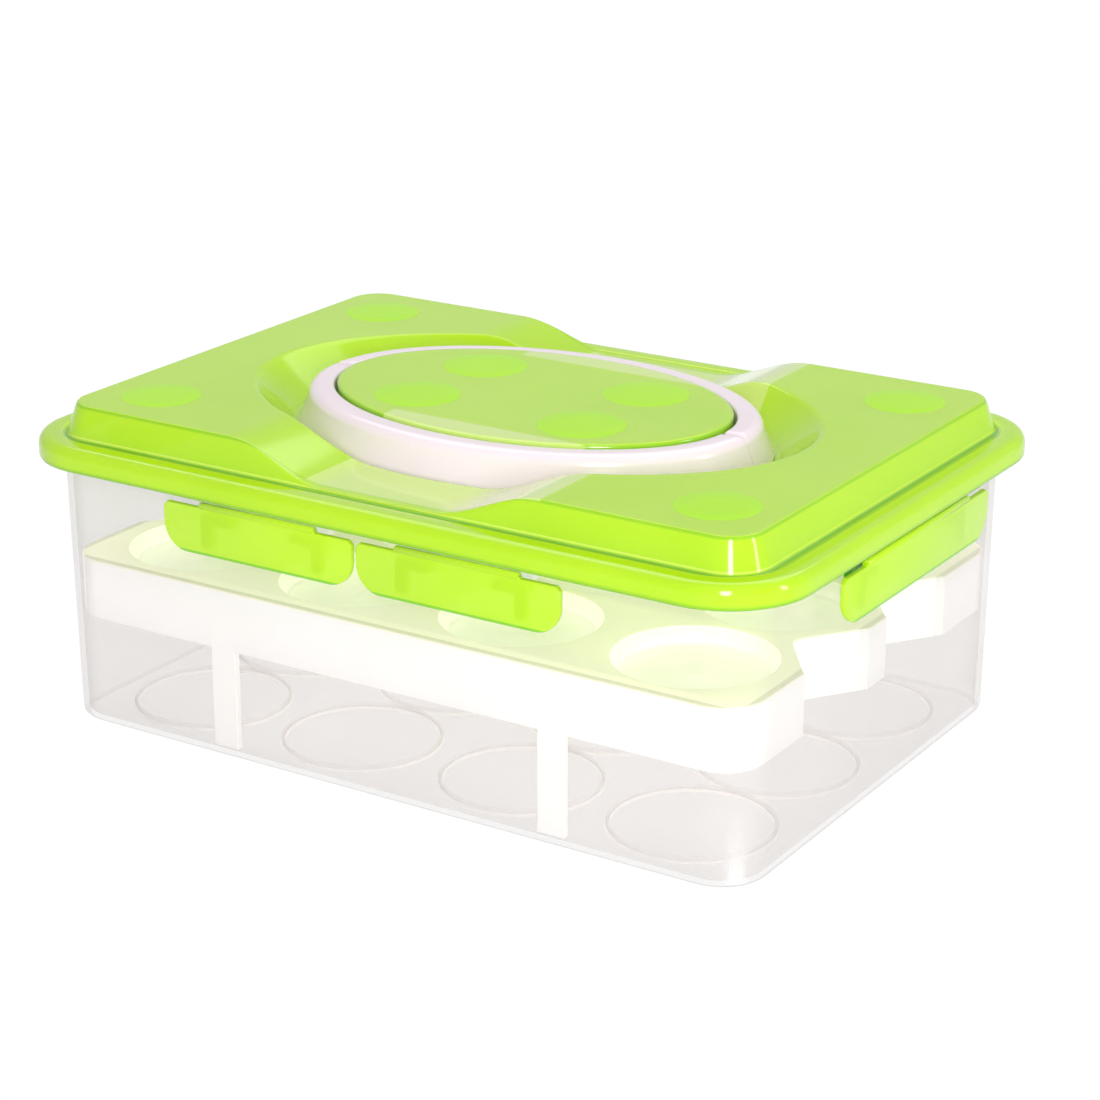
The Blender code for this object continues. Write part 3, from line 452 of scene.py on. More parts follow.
# %% A tree that puts one shape on every cell
def cell_tree():
    tree = bpy.data.node_groups.new("shape on every cell", "GeometryNodeTree")
    maker = Maker(tree)
    identifiers = {}
    for name, kind in (("Columns", "NodeSocketInt"), ("Rows", "NodeSocketInt"),
                       ("Pitch X", "NodeSocketFloat"), ("Pitch Y", "NodeSocketFloat"),
                       ("Shape", "NodeSocketObject"), ("Finish", "NodeSocketMaterial")):
        identifiers[name] = tree.interface.new_socket(name=name, in_out="INPUT", socket_type=kind).identifier
    tree.interface.new_socket(name="Geometry", in_out="OUTPUT", socket_type="NodeSocketGeometry")
    start = maker.node("NodeGroupInput")
    columns, rows = Signal(maker, start.outputs["Columns"]), Signal(maker, start.outputs["Rows"])
    length = (columns - 1) * Signal(maker, start.outputs["Pitch X"])
    width = (rows - 1) * Signal(maker, start.outputs["Pitch Y"])
    grid = maker.node("GeometryNodeMeshGrid", None, {"Size X": length, "Size Y": width,
                                                      "Vertices X": columns, "Vertices Y": rows})
    shape = maker.node("GeometryNodeObjectInfo", None, {"Object": start.outputs["Shape"]})
    placed = maker.node("GeometryNodeInstanceOnPoints", None, {"Points": grid.outputs[0],
                                                               "Instance": shape.outputs["Geometry"]})
    real = maker.node("GeometryNodeRealizeInstances", None, {0: placed.outputs[0]})
    finish = maker.node("GeometryNodeSetMaterial", None, {"Geometry": real.outputs[0],
                                                          "Material": start.outputs["Finish"]})
    maker.node("NodeGroupOutput", None, {0: finish.outputs[0]})
    return tree, identifiers


CELL_TREE, CELL_INPUTS = cell_tree()


def on_every_cell(name, shape, material):
    """Repeats a shape over the cells and returns one plain mesh object."""
    piece = bpy.data.objects.new(name, bpy.data.meshes.new(name))
    bpy.context.scene.collection.objects.link(piece)
    modifier = piece.modifiers.new("cells", "NODES")
    modifier.node_group = CELL_TREE
    values = {"Columns": COLUMNS, "Rows": ROWS, "Pitch X": PITCH_X, "Pitch Y": PITCH_Y,
              "Shape": shape, "Finish": material}
    for key, value in values.items():
        modifier[CELL_INPUTS[key]] = value
    applied(piece)
    bpy.data.objects.remove(shape, do_unlink=True)
    return piece


def turned_shape(name, profile, segments, close=True):
    """Turns a profile of (radius, height) points about the Z axis."""
    rings = [[Vector((radius * math.cos(2 * math.pi * step / segments),
                      radius * math.sin(2 * math.pi * step / segments), height)) for step in range(segments)]
             for radius, height in profile]
    return skin(name, rings if close else rings + rings[:1], close, close)


# %% [markdown]
# A ring on the floor keeps an egg from rolling. It is a low rounded bead, 1 mm high, with
# its foot sunk a little into the floor so that no gap shows between them. A second ring
# lies inside the floor's thickness, and is the soft pale line that is seen below the bead;
# it glows a little, painted light that keeps it pale.

# %% Rings on the tub's floor
bead = [(RING_RADIUS + BEAD_HALF_WIDTH * math.cos(math.radians(a)),
         TUB_WALL + 0.0001 + BEAD_RISE * math.sin(math.radians(a))) for a in range(-30, 211, 24)]
under = [(RING_RADIUS + 0.001 * math.cos(math.radians(a)), 0.0007 + 0.0005 * math.sin(math.radians(a)))
         for a in range(0, 360, 30)]
for name, profile, material in (("floor_rings", bead, CLEAR_BEAD), ("floor_ring_marks", under, CLEAR_RING_PAINTED_GLOW)):
    rings = on_every_cell(name, turned_shape("ring", profile, 72, close=False), material)
    rings.data.shade_smooth()
    dress(rings, material, "box", "clear_tub")

# %% [markdown]
# The lid's catches hook under short lugs on the tub's wall. They are small bars with
# rounded edges: a box with a Bevel modifier, one for each catch, joined in one piece.

# %% Lugs on the tub's wall
LATCHES = (
    ("latch_front_left", -LATCH_CENTRE, LONG_LATCH, 0), ("latch_front_right", LATCH_CENTRE, LONG_LATCH, 0),
    ("latch_right", 0.0, SHORT_LATCH, 90), ("latch_back_right", -LATCH_CENTRE, LONG_LATCH, 180),
    ("latch_back_left", LATCH_CENTRE, LONG_LATCH, 180), ("latch_left", 0.0, SHORT_LATCH, 270),
)


def add_bar(bm, low, high, matrix=None):
    """Adds a box between two corners to a bmesh."""
    size = [abs(b - a) for a, b in zip(low, high)]
    centre = [(a + b) / 2 for a, b in zip(low, high)]
    place = Matrix.Translation(centre) @ Matrix.Diagonal((*size, 1.0))
    bmesh.ops.create_cube(bm, size=1.0, matrix=(matrix or Matrix.Identity(4)) @ place)


def side_reach(turn, half):
    return half[1] if turn % 180 == 0 else half[0]


def catch_places(width):
    offset = CATCH_OFFSET + (width - LONG_LATCH) / 2
    return (-offset, offset)


def bevelled(piece, width, segments):
    modifier = piece.modifiers.new("edges", "BEVEL")
    modifier.width = width
    modifier.segments = segments
    modifier.limit_method = "ANGLE"
    modifier.harden_normals = True
    return applied(piece)


lugs = bmesh.new()
for _, centre, width, turn in LATCHES:
    wall = side_reach(turn, TUB_HALF) + TUB_FLARE * LUG_FOOT / TUB_HEIGHT
    for offset in catch_places(width):
        add_bar(lugs, (centre + offset - LUG_LENGTH / 2, -wall - LUG_REACH, LUG_FOOT),
                (centre + offset + LUG_LENGTH / 2, -wall + 0.001, LUG_FOOT + LUG_THICK),
                Matrix.Rotation(math.radians(turn), 4, "Z"))
# The lugs share the rings' material, whose glow is painted light.
dress(bevelled(from_bmesh("tub_lugs", lugs), 0.0004, 3), CLEAR_RING_PAINTED_GLOW, "box", "clear_tub")

# %% [markdown]
# The tray's plate and skirt follow one outline: a rounded rectangle with two notches in
# each short side, where fingertips reach past it. A filled 2D curve is the natural tool,
# because its own bevel rounds every edge, and inner loops become holes for the dishes.

# %% The tray's outline
def arc_points(centre, radius, start, end, steps):
    return [(centre[0] + radius * math.cos(math.radians(start + (end - start) * step / steps)),
             centre[1] + radius * math.sin(math.radians(start + (end - start) * step / steps)))
            for step in range(steps + 1)]


def tray_outline(inset):
    """The outline, moved in by inset, counter-clockwise."""
    half = (TRAY_HALF[0] - inset, TRAY_HALF[1] - inset)
    radius = TRAY_CORNER - inset
    lean = math.atan2(NOTCH_HALF_WIDTH, NOTCH_DEPTH)
    tip = half[0] - NOTCH_DEPTH - inset / math.sin(lean) + inset
    tip_round = max(NOTCH_TIP - inset, 0.001)
    centre_x = tip + tip_round / math.sin(lean)
    reach = (half[0] - tip) * math.tan(lean)
    mouth = 0.0012
    side = []
    for row in (-0.5, 0.5):
        y = row * PITCH_Y
        turn = math.degrees(lean) + 90.0
        corner_low = (half[0] - mouth * math.tan(lean / 2), y - reach - mouth)
        side += [(half[0], y - reach - mouth), corner_low]
        side += arc_points((centre_x, y), tip_round, 360.0 - turn, turn, 10)
        side += [(corner_low[0], y + reach + mouth), (half[0], y + reach + mouth)]
    right = [(half[0] - radius + radius * c, -half[1] + radius - radius * s)
             for c, s in reversed(arc_steps(10))]
    right += side
    right += [(half[0] - radius + radius * c, half[1] - radius + radius * s) for c, s in arc_steps(10)]
    return right + [(-x, -y) for x, y in right]


def filled_curve(name, loops, low, high, edge):
    """A plate between two heights from an outline and its holes, with rounded edges."""
    curve = bpy.data.curves.new(name, "CURVE")
    curve.dimensions = "2D"
    curve.fill_mode = "BOTH"
    curve.extrude = (high - low) / 2 - edge
    curve.bevel_depth = edge
    curve.bevel_resolution = 2
    curve.offset = -edge
    for loop in loops:
        spline = curve.splines.new("POLY")
        spline.points.add(len(loop) - 1)
        for point, (x, y) in zip(spline.points, loop):
            point.co = (x, y, 0.0, 1.0)
        spline.use_cyclic_u = True
    holder = bpy.data.objects.new(name, curve)
    bpy.context.scene.collection.objects.link(holder)
    bpy.context.view_layer.update()
    mesh = bpy.data.meshes.new_from_object(holder.evaluated_get(bpy.context.evaluated_depsgraph_get()))
    bpy.data.objects.remove(holder, do_unlink=True)
    bm = bmesh.new()
    bm.from_mesh(mesh)
    bmesh.ops.remove_doubles(bm, verts=bm.verts, dist=0.00001)
    bmesh.ops.translate(bm, verts=bm.verts, vec=(0.0, 0.0, (low + high) / 2))
    piece = from_bmesh(name, bm)
    piece.data.set_sharp_from_angle(angle=math.radians(35))
    return piece


def cells():
    return [((column - (COLUMNS - 1) / 2) * PITCH_X, (row - (ROWS - 1) / 2) * PITCH_Y)
            for column in range(COLUMNS) for row in range(ROWS)]


holes = [[(x + px, y + py) for px, py in arc_points((0, 0), DISH_RIM, 0, 360 - 5, 71)] for x, y in cells()]
plate = filled_curve("tray_plate", [tray_outline(0.0)] + holes, TRAY_TOP - TRAY_WALL, TRAY_TOP, 0.0004)
dress(plate, TRAY_WHITE, "tray", "white_tray", "egg_tray")
skirt = filled_curve("tray_skirt", [tray_outline(0.00001), tray_outline(TRAY_WALL)],
                     TRAY_SKIRT_FOOT, TRAY_TOP - 0.0008, 0.0004)
dress(skirt, TRAY_WHITE, "tray", "white_tray")

# %% [markdown]
# Each dish is one profile turned about its middle: a slanting wall from the plate's hole
# to a flat floor, with a soft bend between them and a small round gate mark in the middle.

# %% The tray's dishes
floor = TRAY_TOP - DISH_DEPTH
bend = 0.0016
dish = [(0.0012, floor + 0.0002), (0.0018, floor + 0.0002), (0.0021, floor)]
dish += [(DISH_FLOOR - bend + bend * s, floor + bend * (1 - c)) for c, s in arc_steps(5)]
dish += [(DISH_RIM - 0.0002, TRAY_TOP - 0.0007), (DISH_RIM + 0.0004, TRAY_TOP - 0.0009),
         (DISH_RIM + 0.0009, TRAY_TOP - TRAY_WALL - 0.0002)]
dish += [(DISH_FLOOR + 0.0012 - bend * (1 - c), floor - 0.0012 + bend * (1 - s)) for c, s in arc_steps(5)]
dish += [(0.004, floor - 0.0014)]
dishes = on_every_cell("tray_dishes", turned_shape("dish", dish, 72), TRAY_WHITE)
dishes.data.shade_smooth()
dishes.data.set_sharp_from_angle(angle=math.radians(50))
dress(dishes, TRAY_WHITE, "tray", "white_tray")

# %% [markdown]
# Four legs carry the tray. They are flat tabs on its long faces that run down to the
# tub's floor, and they belong to the same moulding, so their tops sink into the skirt.

# %% The tray's legs
legs = bmesh.new()
for x in (-PITCH_X, PITCH_X):
    for turn in (0, 180):
        add_bar(legs, (x - LEG_WIDTH / 2, -TRAY_HALF[1], LEG_FOOT),
                (x + LEG_WIDTH / 2, -TRAY_HALF[1] + LEG_THICK, TRAY_TOP - 0.003),
                Matrix.Rotation(math.radians(turn), 4, "Z"))
dress(bevelled(from_bmesh("tray_legs", legs), 0.0005, 3), TRAY_WHITE, "tray", "white_tray")

# %% [markdown]
# The lid is the piece the eye goes to, and its shape follows a rule: a raised platform
# with a step round it, an oval bowl for the handle, an oval plateau inside that, and a
# smooth valley through each long edge. So its top is a sheet of rings, oval in the middle
# and rectangular outside, whose height is the lower of the platform's walls and the
# valley's curve. A soft minimum rounds the line where the two meet. Solidify then gives
# the sheet the 2 mm wall of the real moulding.

# %% The lid's height rule
def soft_least(first, second, blend):
    """The lesser of two heights, with a rounded join of the given size."""
    share = max(blend - abs(first - second), 0.0) / blend
    return min(first, second) - share * share * blend / 4


def valley(x):
    """The height of the platform's skin at x: low in the valley, full height beside it."""
    away = min(max((abs(x) - VALLEY_HALF_FLOOR) / (VALLEY_HALF_TOP - VALLEY_HALF_FLOOR), 0.0), 1.0)
    smooth = (1 - math.cos(math.pi * away)) / 2
    return VALLEY_FLOOR + (PLATFORM_TOP - VALLEY_FLOOR) * smooth


def blended(inner, outer, share):
    return [a.lerp(b, share) for a, b in zip(inner, outer)]


def lidded(ring, height):
    """Sets a ring's heights to the soft least of its wall height and the valley."""
    return [Vector((p.x, p.y, soft_least(height, valley(p.x), 0.0012))) for p in ring]


def rim_ring(inset, height):
    radius = RIM_CORNER - inset
    if inset > PLATFORM_FOOT_INSET - 0.002:
        share = (inset - PLATFORM_FOOT_INSET) / (PLATFORM_TOP_INSET - PLATFORM_FOOT_INSET)
        radius = PLATFORM_FOOT_CORNER + (PLATFORM_TOP_CORNER - PLATFORM_FOOT_CORNER) * share
    return rectangle_ring((RIM_HALF[0] - inset, RIM_HALF[1] - inset), radius, height)


# %% The lid's rings
TOP_ROUND, FLOOR_ROUND = 0.001, 0.0012
# Painted light along the lid's rings: pale lines are highlights, dark lines are shade.
painted_light_of_ring = {}


def mark(first, *values):
    """Sets the painted highlight (1) or painted shade (-1) along each ring from the one at first."""
    painted_light_of_ring.update({first + step: value for step, value in enumerate(values)})


lid_rings = [oval_ring((0.001, 0.0007), PLATEAU_TOP)]
lid_rings += [oval_ring((PLATEAU[0] * share, PLATEAU[1] * share), PLATEAU_TOP)
              for share in (0.25, 0.5, 0.75, 0.95)]
# Painted shade on the plateau's rounded top edge.
mark(len(lid_rings), 0.0, 0.0, -0.3, -0.55, -0.6)
for c, s in arc_steps(4):
    lid_rings.append(oval_ring((PLATEAU[0] - TOP_ROUND * (1 - s), PLATEAU[1] - TOP_ROUND * (1 - s)),
                               PLATEAU_TOP - TOP_ROUND * (1 - c)))
for c, s in arc_steps(4):
    lid_rings.append(oval_ring((PLATEAU[0] + FLOOR_ROUND * (1 - c), PLATEAU[1] + FLOOR_ROUND * (1 - c)),
                               BOWL_FLOOR + FLOOR_ROUND * (1 - s)))
lid_rings.append(oval_ring((BOWL_BED[0] - 0.002, BOWL_BED[1] - 0.0015), BOWL_FLOOR))
WALL_STEPS = 26
for step in range(WALL_STEPS + 1):
    share = 1.12 * step / WALL_STEPS
    half = [low + (high - low) * share for low, high in zip(BOWL_BED, BOWL_TOP)]
    wall = BOWL_FLOOR + (PLATFORM_TOP - BOWL_FLOOR) * share
    lid_rings.append(lidded(oval_ring(half, 0.0), -soft_least(-wall, -BOWL_FLOOR, 0.0008)))
outer_edge = rim_ring(PLATFORM_TOP_INSET + 0.003, 0.0)
inner_edge = [Vector((p.x, p.y, 0.0)) for p in lid_rings[-1]]
for share in (0.08, 0.2, 0.35, 0.5, 0.65, 0.8, 0.92):
    lid_rings.append(lidded(blended(inner_edge, outer_edge, share), PLATFORM_TOP + 0.01))
PLATFORM_STEPS = 28
slope = (PLATFORM_TOP - RIM_TOP) / (PLATFORM_TOP_INSET - PLATFORM_FOOT_INSET)
for step in range(PLATFORM_STEPS):
    share = step / PLATFORM_STEPS
    inset = PLATFORM_TOP_INSET + 0.002 + (PLATFORM_FOOT_INSET - PLATFORM_TOP_INSET - 0.002) * share
    if abs(inset - PLATFORM_TOP_INSET) < 0.0003:
        # Painted shade along the platform's top edge.
        mark(len(lid_rings), -0.45)
    wall = RIM_TOP + (inset - PLATFORM_FOOT_INSET) * slope
    lid_rings.append([Vector((p.x, p.y, soft_least(wall, valley(p.x), 0.0024)))
                      for p in rim_ring(inset, 0.0)])
GROOVE = RIM_TOP - 0.0008
FOOT_FILLET = 0.001
# Painted highlights and painted shade across the groove at the platform's foot.
mark(len(lid_rings) - 1, 0.0, 0.85, 0.3, -0.4, -0.9, -0.9, -0.25, 0.1, 0.75, 0.2)
for c, s in arc_steps(4):
    foot = PLATFORM_FOOT_INSET + 0.0001 - FOOT_FILLET * (1 - c)
    lid_rings.append(rim_ring(foot, GROOVE + FOOT_FILLET * (1 - s)))
lid_rings += [rim_ring(0.0090, GROOVE), rim_ring(0.0086, GROOVE + 0.0003), rim_ring(0.0083, RIM_TOP - 0.0001),
              rim_ring(0.0079, RIM_TOP), rim_ring(0.0055, RIM_TOP)]
RIM_ROUND = 0.0036
lid_rings += [rim_ring(RIM_ROUND * (1 - s), RIM_TOP - RIM_ROUND * (1 - c)) for c, s in arc_steps(7)]
lid_rings.append(rim_ring(0.0, RIM_FOOT + 0.002))
# Painted shade along the rim's lower edge.
mark(len(lid_rings), -0.55, -0.7, -0.8)
lid_rings += [rim_ring(0.0, RIM_FOOT + 0.001), rim_ring(0.0003, RIM_FOOT + 0.0003), rim_ring(0.001, RIM_FOOT)]
lid = skin("lid_shell", lid_rings, True, False)
ring_size = len(lid_rings[0])
# Each point gets its ring's painted highlight or painted shade.
lines = [painted_light_of_ring.get(index // ring_size, 0.0) for index in range(len(lid.data.vertices))]
lid.data.attributes.new("line", "FLOAT", "POINT").data.foreach_set("value", lines)
wall = lid.modifiers.new("wall", "SOLIDIFY")
wall.thickness = LID_WALL
wall.offset = -1.0
wall.use_even_offset = True
wall.thickness_clamp = 1.0
applied(lid)
dress(lid, LIME, "lid", "green_lid", "lid")

# %% [markdown]
# Round spots of a fuller green are set in the lid as a plain pattern: four on the plateau and
# one near each corner of the platform. Geometry Nodes put one low disc on each point and
# read its size from an attribute of the point, so the two sizes come from one tree.

# %% The lid's spots
def spot_tree():
    tree = bpy.data.node_groups.new("spots", "GeometryNodeTree")
    maker = Maker(tree)
    identifiers = {}
    tree.interface.new_socket(name="Geometry", in_out="INPUT", socket_type="NodeSocketGeometry")
    for name, kind in (("Shape", "NodeSocketObject"), ("Finish", "NodeSocketMaterial")):
        identifiers[name] = tree.interface.new_socket(name=name, in_out="INPUT", socket_type=kind).identifier
    tree.interface.new_socket(name="Geometry", in_out="OUTPUT", socket_type="NodeSocketGeometry")
    start = maker.node("NodeGroupInput")
    size = maker.node("GeometryNodeInputNamedAttribute", {"data_type": "FLOAT"}, {"Name": "spot_radius"})
    scale = maker.node("ShaderNodeCombineXYZ", None, {0: size.outputs[0], 1: size.outputs[0], 2: 1.0})
    shape = maker.node("GeometryNodeObjectInfo", None, {"Object": start.outputs["Shape"]})
    placed = maker.node("GeometryNodeInstanceOnPoints", None, {"Points": start.outputs[0],
                        "Instance": shape.outputs["Geometry"], "Scale": scale.outputs[0]})
    real = maker.node("GeometryNodeRealizeInstances", None, {0: placed.outputs[0]})
    finish = maker.node("GeometryNodeSetMaterial", None, {"Geometry": real.outputs[0],
                                                          "Material": start.outputs["Finish"]})
    maker.node("NodeGroupOutput", None, {0: finish.outputs[0]})
    return tree, identifiers


PLATEAU_SPOT = (0.0336, 0.0213, PLATEAU_TOP, 0.0152)
CORNER_SPOT = (0.1111, 0.0663, PLATFORM_TOP, 0.0140)
SPOTS = [(sx * x, sy * y, top, radius) for x, y, top, radius in (PLATEAU_SPOT, CORNER_SPOT)
         for sx in (-1, 1) for sy in (-1, 1)]
SPOT_RISE, SPOT_SINK = 0.00005, 0.0003
spot_mesh = bpy.data.meshes.new("lid_spots")
spot_mesh.from_pydata([spot[:3] for spot in SPOTS], [], [])
radii = spot_mesh.attributes.new("spot_radius", "FLOAT", "POINT")
radii.data.foreach_set("value", [spot[3] for spot in SPOTS])
spots = bpy.data.objects.new("lid_spots", spot_mesh)
bpy.context.scene.collection.objects.link(spots)
disc = turned_shape("disc", [(0.9, -SPOT_SINK), (1.0, -SPOT_SINK), (1.0, SPOT_RISE * 0.4), (0.988, SPOT_RISE),
                             (0.5, SPOT_RISE)], 72)
tree, names = spot_tree()
modifier = spots.modifiers.new("spots", "NODES")
modifier.node_group = tree
modifier[names["Shape"]] = disc
modifier[names["Finish"]] = LIME_DOT
applied(spots)
bpy.data.objects.remove(disc, do_unlink=True)
spots.data.shade_smooth()
spots.data.set_sharp_from_angle(angle=math.radians(40))
dress(spots, LIME_DOT, "lid", "green_lid")

# %% [markdown]
# A latch is a flap that hangs from a thin hinge at the lid's edge. Its face is a filled
# outline with rounded lower corners, stood upright. Behind it are two hooks that catch
# under the tub's lugs, each stiffened by a rib. Hooks and ribs are a far darker green than
# the flap, painted shade, so they show through it as a darker angle.

# %% The latches
def latch_outline(width):
    half = width / 2
    web = LATCH_WEB / 2 + (width - LONG_LATCH) / 2
    foot = LATCH_FOOT - LATCH_AXIS
    points = [(web, 0.0), (-web, 0.0), (-web, -0.0005), (-half + 0.0015, -0.0005), (-half, -0.0020)]
    points += arc_points((-half + LATCH_CORNER, foot + LATCH_CORNER), LATCH_CORNER, 180, 270, 12)
    points += arc_points((half - LATCH_CORNER, foot + LATCH_CORNER), LATCH_CORNER, 270, 360, 12)
    return points + [(half, -0.0020), (half - 0.0015, -0.0005), (web, -0.0005)]


def make_latch(name, centre, width, turn):
    axis_y = side_reach(turn, RIM_HALF) + 0.0001 - LATCH_THICK / 2
    place = (Matrix.Rotation(math.radians(turn), 4, "Z") @ Matrix.Translation((centre, -axis_y, LATCH_AXIS)))
    flap = filled_curve(name + "_flap", [latch_outline(width)], -LATCH_THICK / 2, LATCH_THICK / 2, 0.0005)
    flap.data.transform(Matrix.Rotation(math.radians(90), 4, "X"))
    catches = bmesh.new()
    root = LATCH_THICK / 2 - 0.0003
    for offset in catch_places(width):
        side = math.copysign(1.0, offset)
        add_bar(catches, (offset - LUG_LENGTH / 2, root, CATCH_FOOT - LATCH_AXIS),
                (offset + LUG_LENGTH / 2, CATCH_REACH, CATCH_TOP - LATCH_AXIS))
        outer = offset + side * LUG_LENGTH / 2
        add_bar(catches, (outer, root, RIB_FOOT - LATCH_AXIS),
                (outer - side * RIB_WIDTH, RIB_REACH, CATCH_FOOT - LATCH_AXIS + 0.0005))
    catch = bevelled(from_bmesh(name + "_catches", catches), 0.0004, 2)
    web = LATCH_WEB + (width - LONG_LATCH) - 0.001
    bead = bmesh.new()
    bmesh.ops.create_cone(bead, cap_ends=True, segments=24, radius1=LATCH_THICK / 2 + 0.0002,
                          radius2=LATCH_THICK / 2 + 0.0002, depth=web,
                          matrix=Matrix.Rotation(math.radians(90), 4, "Y"))
    roll = bevelled(from_bmesh(name + "_bead", bead), 0.0003, 2)
    for piece in (flap, catch, roll):
        piece.data.transform(place)
        piece.data.shade_smooth()
        piece.data.set_sharp_from_angle(angle=math.radians(40))
    dress(flap, LIME_LATCH, name, "green_latch", name)
    dress(catch, LIME_CATCH_PAINTED_SHADE, name, "green_latch")
    dress(roll, LIME_LATCH, name, "green_latch")


for name, centre, width, turn in LATCHES:
    make_latch(name, centre, width, turn)

# %% [markdown]
# Each half of the handle is a rounded band bent into half an oval, hollow underneath to
# save plastic, with solid ends that carry its pins. The band is a skin over copies of one
# section set along the oval; a second, smaller sweep cuts the hollow.

# %% The handle's two halves
def section(inset):
    outer = BAIL_BAND / 2 - inset
    overrun = 0.004 if inset else 0.0
    lean = BAIL_FLARE / (BAIL_HEIGHT - BAIL_OUTER_ROUND)
    foot = -BAIL_HEIGHT - overrun
    round_outer = max(BAIL_OUTER_ROUND - inset, 0.001)
    round_inner = max(BAIL_INNER_ROUND - inset, 0.0006)
    points = [(-outer, foot), (outer + BAIL_FLARE + lean * overrun, foot)]
    points += arc_points((outer - round_outer, -inset - round_outer), round_outer, 0, 90, 10)
    points += arc_points((-outer + round_inner, -inset - round_inner), round_inner, 90, 180, 5)
    return points


def swept(name, outline, shorten, steps=120):
    """Sweeps a section along the half oval at -Y."""
    middle = (BAIL_INSIDE[0] + BAIL_BAND / 2, BAIL_INSIDE[1] + BAIL_BAND / 2)
    start = math.asin((SEAM_HALF + shorten) / middle[1])
    rings = []
    for step in range(steps + 1):
        angle = start + (math.pi - 2 * start) * step / steps
        centre = Vector((-middle[0] * math.cos(angle), -middle[1] * math.sin(angle), BAIL_TOP))
        out = Vector((-middle[1] * math.cos(angle), -middle[0] * math.sin(angle), 0.0)).normalized()
        rings.append([centre + out * x + Vector((0.0, 0.0, z)) for x, z in outline])
    return skin(name, rings)


def cut(piece, tool):
    modifier = piece.modifiers.new("cut", "BOOLEAN")
    modifier.operation = "DIFFERENCE"
    modifier.solver = "EXACT"
    modifier.object = tool
    applied(piece)
    bpy.data.objects.remove(tool, do_unlink=True)


def tip_trim():
    near, low = -SEAM_HALF - TIP_RADIUS, BAIL_TOP - TIP_RADIUS
    above, below, over = BAIL_TOP + 0.004, BAIL_TOP - BAIL_HEIGHT - 0.004, 0.004
    outline = arc_points((near, low), TIP_RADIUS, 0, 90, 10)
    outline += [(near, above), (over, above), (over, below), (-SEAM_HALF, below)]
    bm = bmesh.new()
    for end in (-1, 1):
        middle = end * (BAIL_INSIDE[0] + BAIL_BAND / 2)
        face = bm.faces.new([bm.verts.new((middle - BAIL_BAND, y, z)) for y, z in outline])
        grown = bmesh.ops.extrude_face_region(bm, geom=[face])["geom"]
        bmesh.ops.translate(bm, verts=[item for item in grown if isinstance(item, bmesh.types.BMVert)],
                            vec=(2 * BAIL_BAND, 0.0, 0.0))
    return from_bmesh("trim", bm)


def make_bail(name, turn):
    bail = swept(name + "_bail", section(0.0), -0.0005)
    cut(bail, swept("hollow", section(BAIL_WALL), BAIL_SOLID_END))
    cut(bail, tip_trim())
    bail.data.transform(Matrix.Rotation(math.radians(turn), 4, "Z"))
    bail.data.shade_smooth()
    bail.data.set_sharp_from_angle(angle=math.radians(38))
    dress(bail, HANDLE_WHITE, name, "white_handle", name)
    pins = bmesh.new()
    inner, outer = PLATEAU[0] - LID_WALL - 0.0015, BAIL_INSIDE[0] + BAIL_BAND / 2
    for end in (-1, 1):
        place = Matrix.Translation((end * (inner + outer) / 2, -PIN_Y, PIN_Z))
        bmesh.ops.create_cone(pins, cap_ends=True, segments=32, radius1=PIN_RADIUS, radius2=PIN_RADIUS,
                              depth=outer - inner, matrix=place @ Matrix.Rotation(math.radians(90), 4, "Y"))
    pin = bevelled(from_bmesh(name + "_pins", pins), 0.0003, 2)
    pin.data.transform(Matrix.Rotation(math.radians(turn), 4, "Z"))
    dress(pin, HANDLE_WHITE, name, "white_handle")


make_bail("handle_front", 0)
make_bail("handle_back", 180)

# %% [markdown]
# The picture was taken on a bright white table, so the floor and the world are white to
# the camera, while the lamps light the box at a plain level. A large soft lamp hangs above
# and behind. Two narrow ones, by the camera and at the right, draw the thin bright lines
# on the lid's rounded edges.

# %% Floor, world and lamps
floor_mesh = bmesh.new()
bmesh.ops.create_grid(floor_mesh, x_segments=1, y_segments=1, size=3.0)
floor_piece = from_bmesh("floor", floor_mesh)
paper = bpy.data.materials.new("white paper floor")
paper.use_nodes = True
maker = Maker(paper.node_tree)
ray = maker.node("ShaderNodeLightPath")
seen = maker.signal(ray, "Is Camera Ray") + maker.signal(ray, "Is Glossy Ray")
seen = seen + maker.signal(ray, "Is Transmission Ray")
matte = maker.node("ShaderNodeBsdfDiffuse", None, {"Color": (0.85, 0.85, 0.85, 1.0)})
glow = maker.node("ShaderNodeEmission", None, {"Color": (1.0, 1.0, 1.0, 1.0), "Strength": 1.04})
mix = maker.node("ShaderNodeMixShader", None, {0: seen.math("MINIMUM", seen, 1.0) * 0.93, 1: matte.outputs[0],
                                               2: glow.outputs[0]})
maker.node("ShaderNodeOutputMaterial", None, {"Surface": mix.outputs[0]})
floor_piece.data.materials.append(paper)

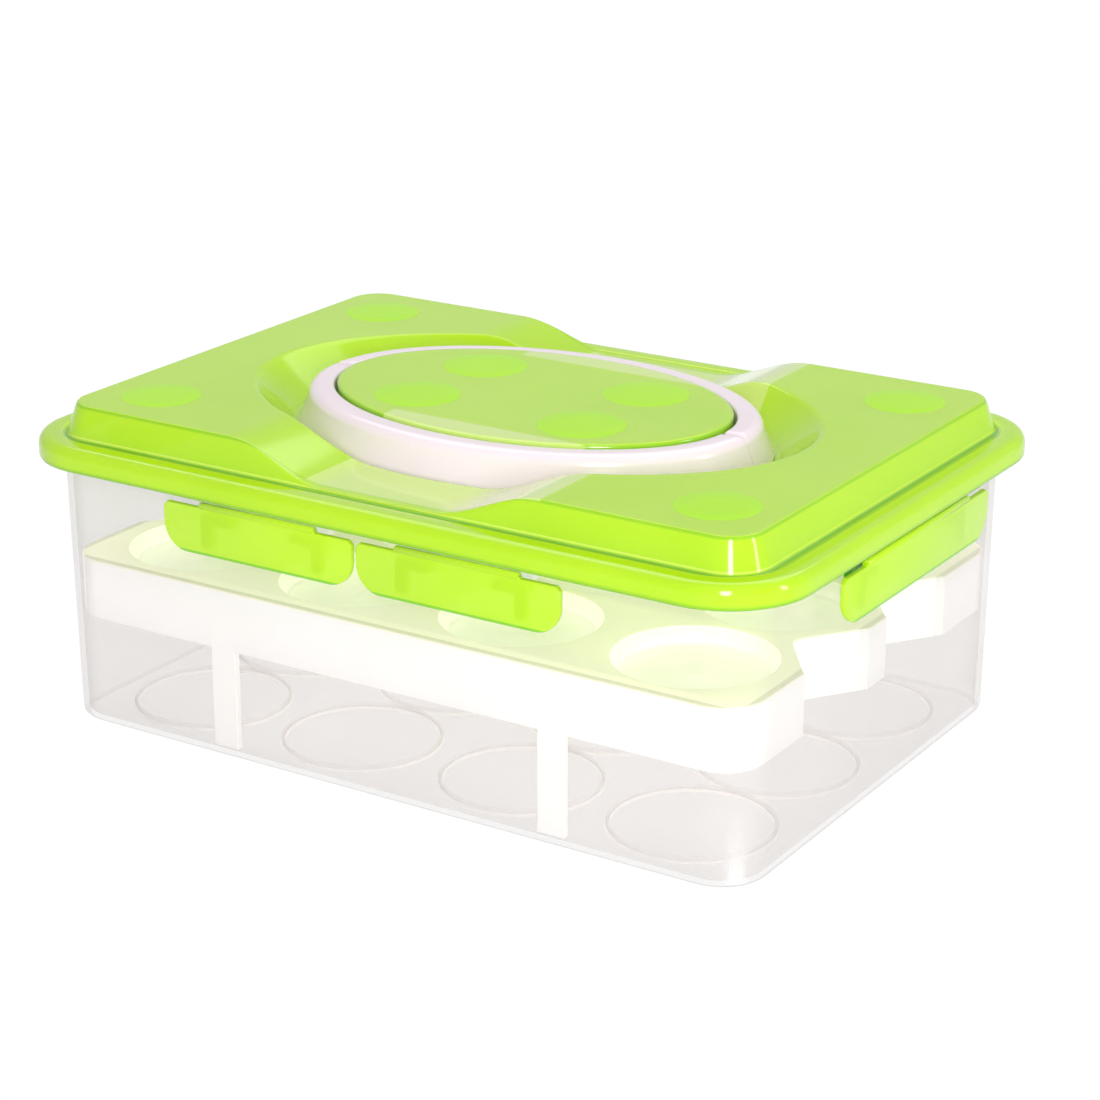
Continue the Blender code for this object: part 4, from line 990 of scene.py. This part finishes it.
world = bpy.data.worlds.new("white studio")
bpy.context.scene.world = world
world.use_nodes = True
maker = Maker(world.node_tree)
ray = maker.node("ShaderNodeLightPath")
extra = maker.signal(ray, "Is Camera Ray") * 0.54 + maker.signal(ray, "Is Glossy Ray") * 0.34
sky = maker.node("ShaderNodeBackground", None, {"Color": (1.0, 1.0, 1.0, 1.0), "Strength": 0.46 + extra})
maker.node("ShaderNodeOutputWorld", None, {"Surface": sky.outputs[0]})


def lamp(name, place, size, power):
    """A soft rectangle of light that looks at the upper part of the box."""
    light = bpy.data.lights.new(name, "AREA")
    light.shape = "RECTANGLE"
    light.size, light.size_y = size
    light.energy = power
    holder = bpy.data.objects.new(name, light)
    bpy.context.scene.collection.objects.link(holder)
    holder.location = place
    holder.rotation_euler = (Vector(LAMP_TARGET) - Vector(place)).to_track_quat("-Z", "Y").to_euler()


LAMP_TARGET = (0.0, 0.0, 0.08)
lamp("soft box above", (-0.25, 0.45, 0.95), (1.2, 0.7), 4.4)
lamp("soft box by the camera", (0.755, -1.163, 0.52), (0.24, 0.9), 15.0)
lamp("soft box right", (1.3, 0.16, 0.33), (0.16, 0.8), 4.0)

# %% [markdown]
# The camera's place, lens and small shift were worked out from the box's own corners in
# the photograph, taken with an ordinary long lens from about a metre away.

# %% Camera
PHOTO_PIXELS = 1100
FOCAL_PIXELS = 2872.4
SENSOR = 36.0
camera_data = bpy.data.cameras.new("camera")
camera_data.sensor_fit = "HORIZONTAL"
camera_data.sensor_width = SENSOR
camera_data.lens = FOCAL_PIXELS / PHOTO_PIXELS * SENSOR
camera_data.shift_x = 0.00275
camera_data.shift_y = -0.00025
camera = bpy.data.objects.new("camera", camera_data)
bpy.context.scene.collection.objects.link(camera)
CAMERA_PLACE, CAMERA_AIM = (0.5186, -0.8059, 0.4034), (-0.5051, 0.7944, -0.3375)
camera.location = CAMERA_PLACE
camera.rotation_euler = Vector(CAMERA_AIM).to_track_quat("-Z", "Y").to_euler()
bpy.context.scene.camera = camera
bpy.context.scene.view_settings.view_transform = "Standard"
print("lens", round(camera_data.lens, 1), "mm")
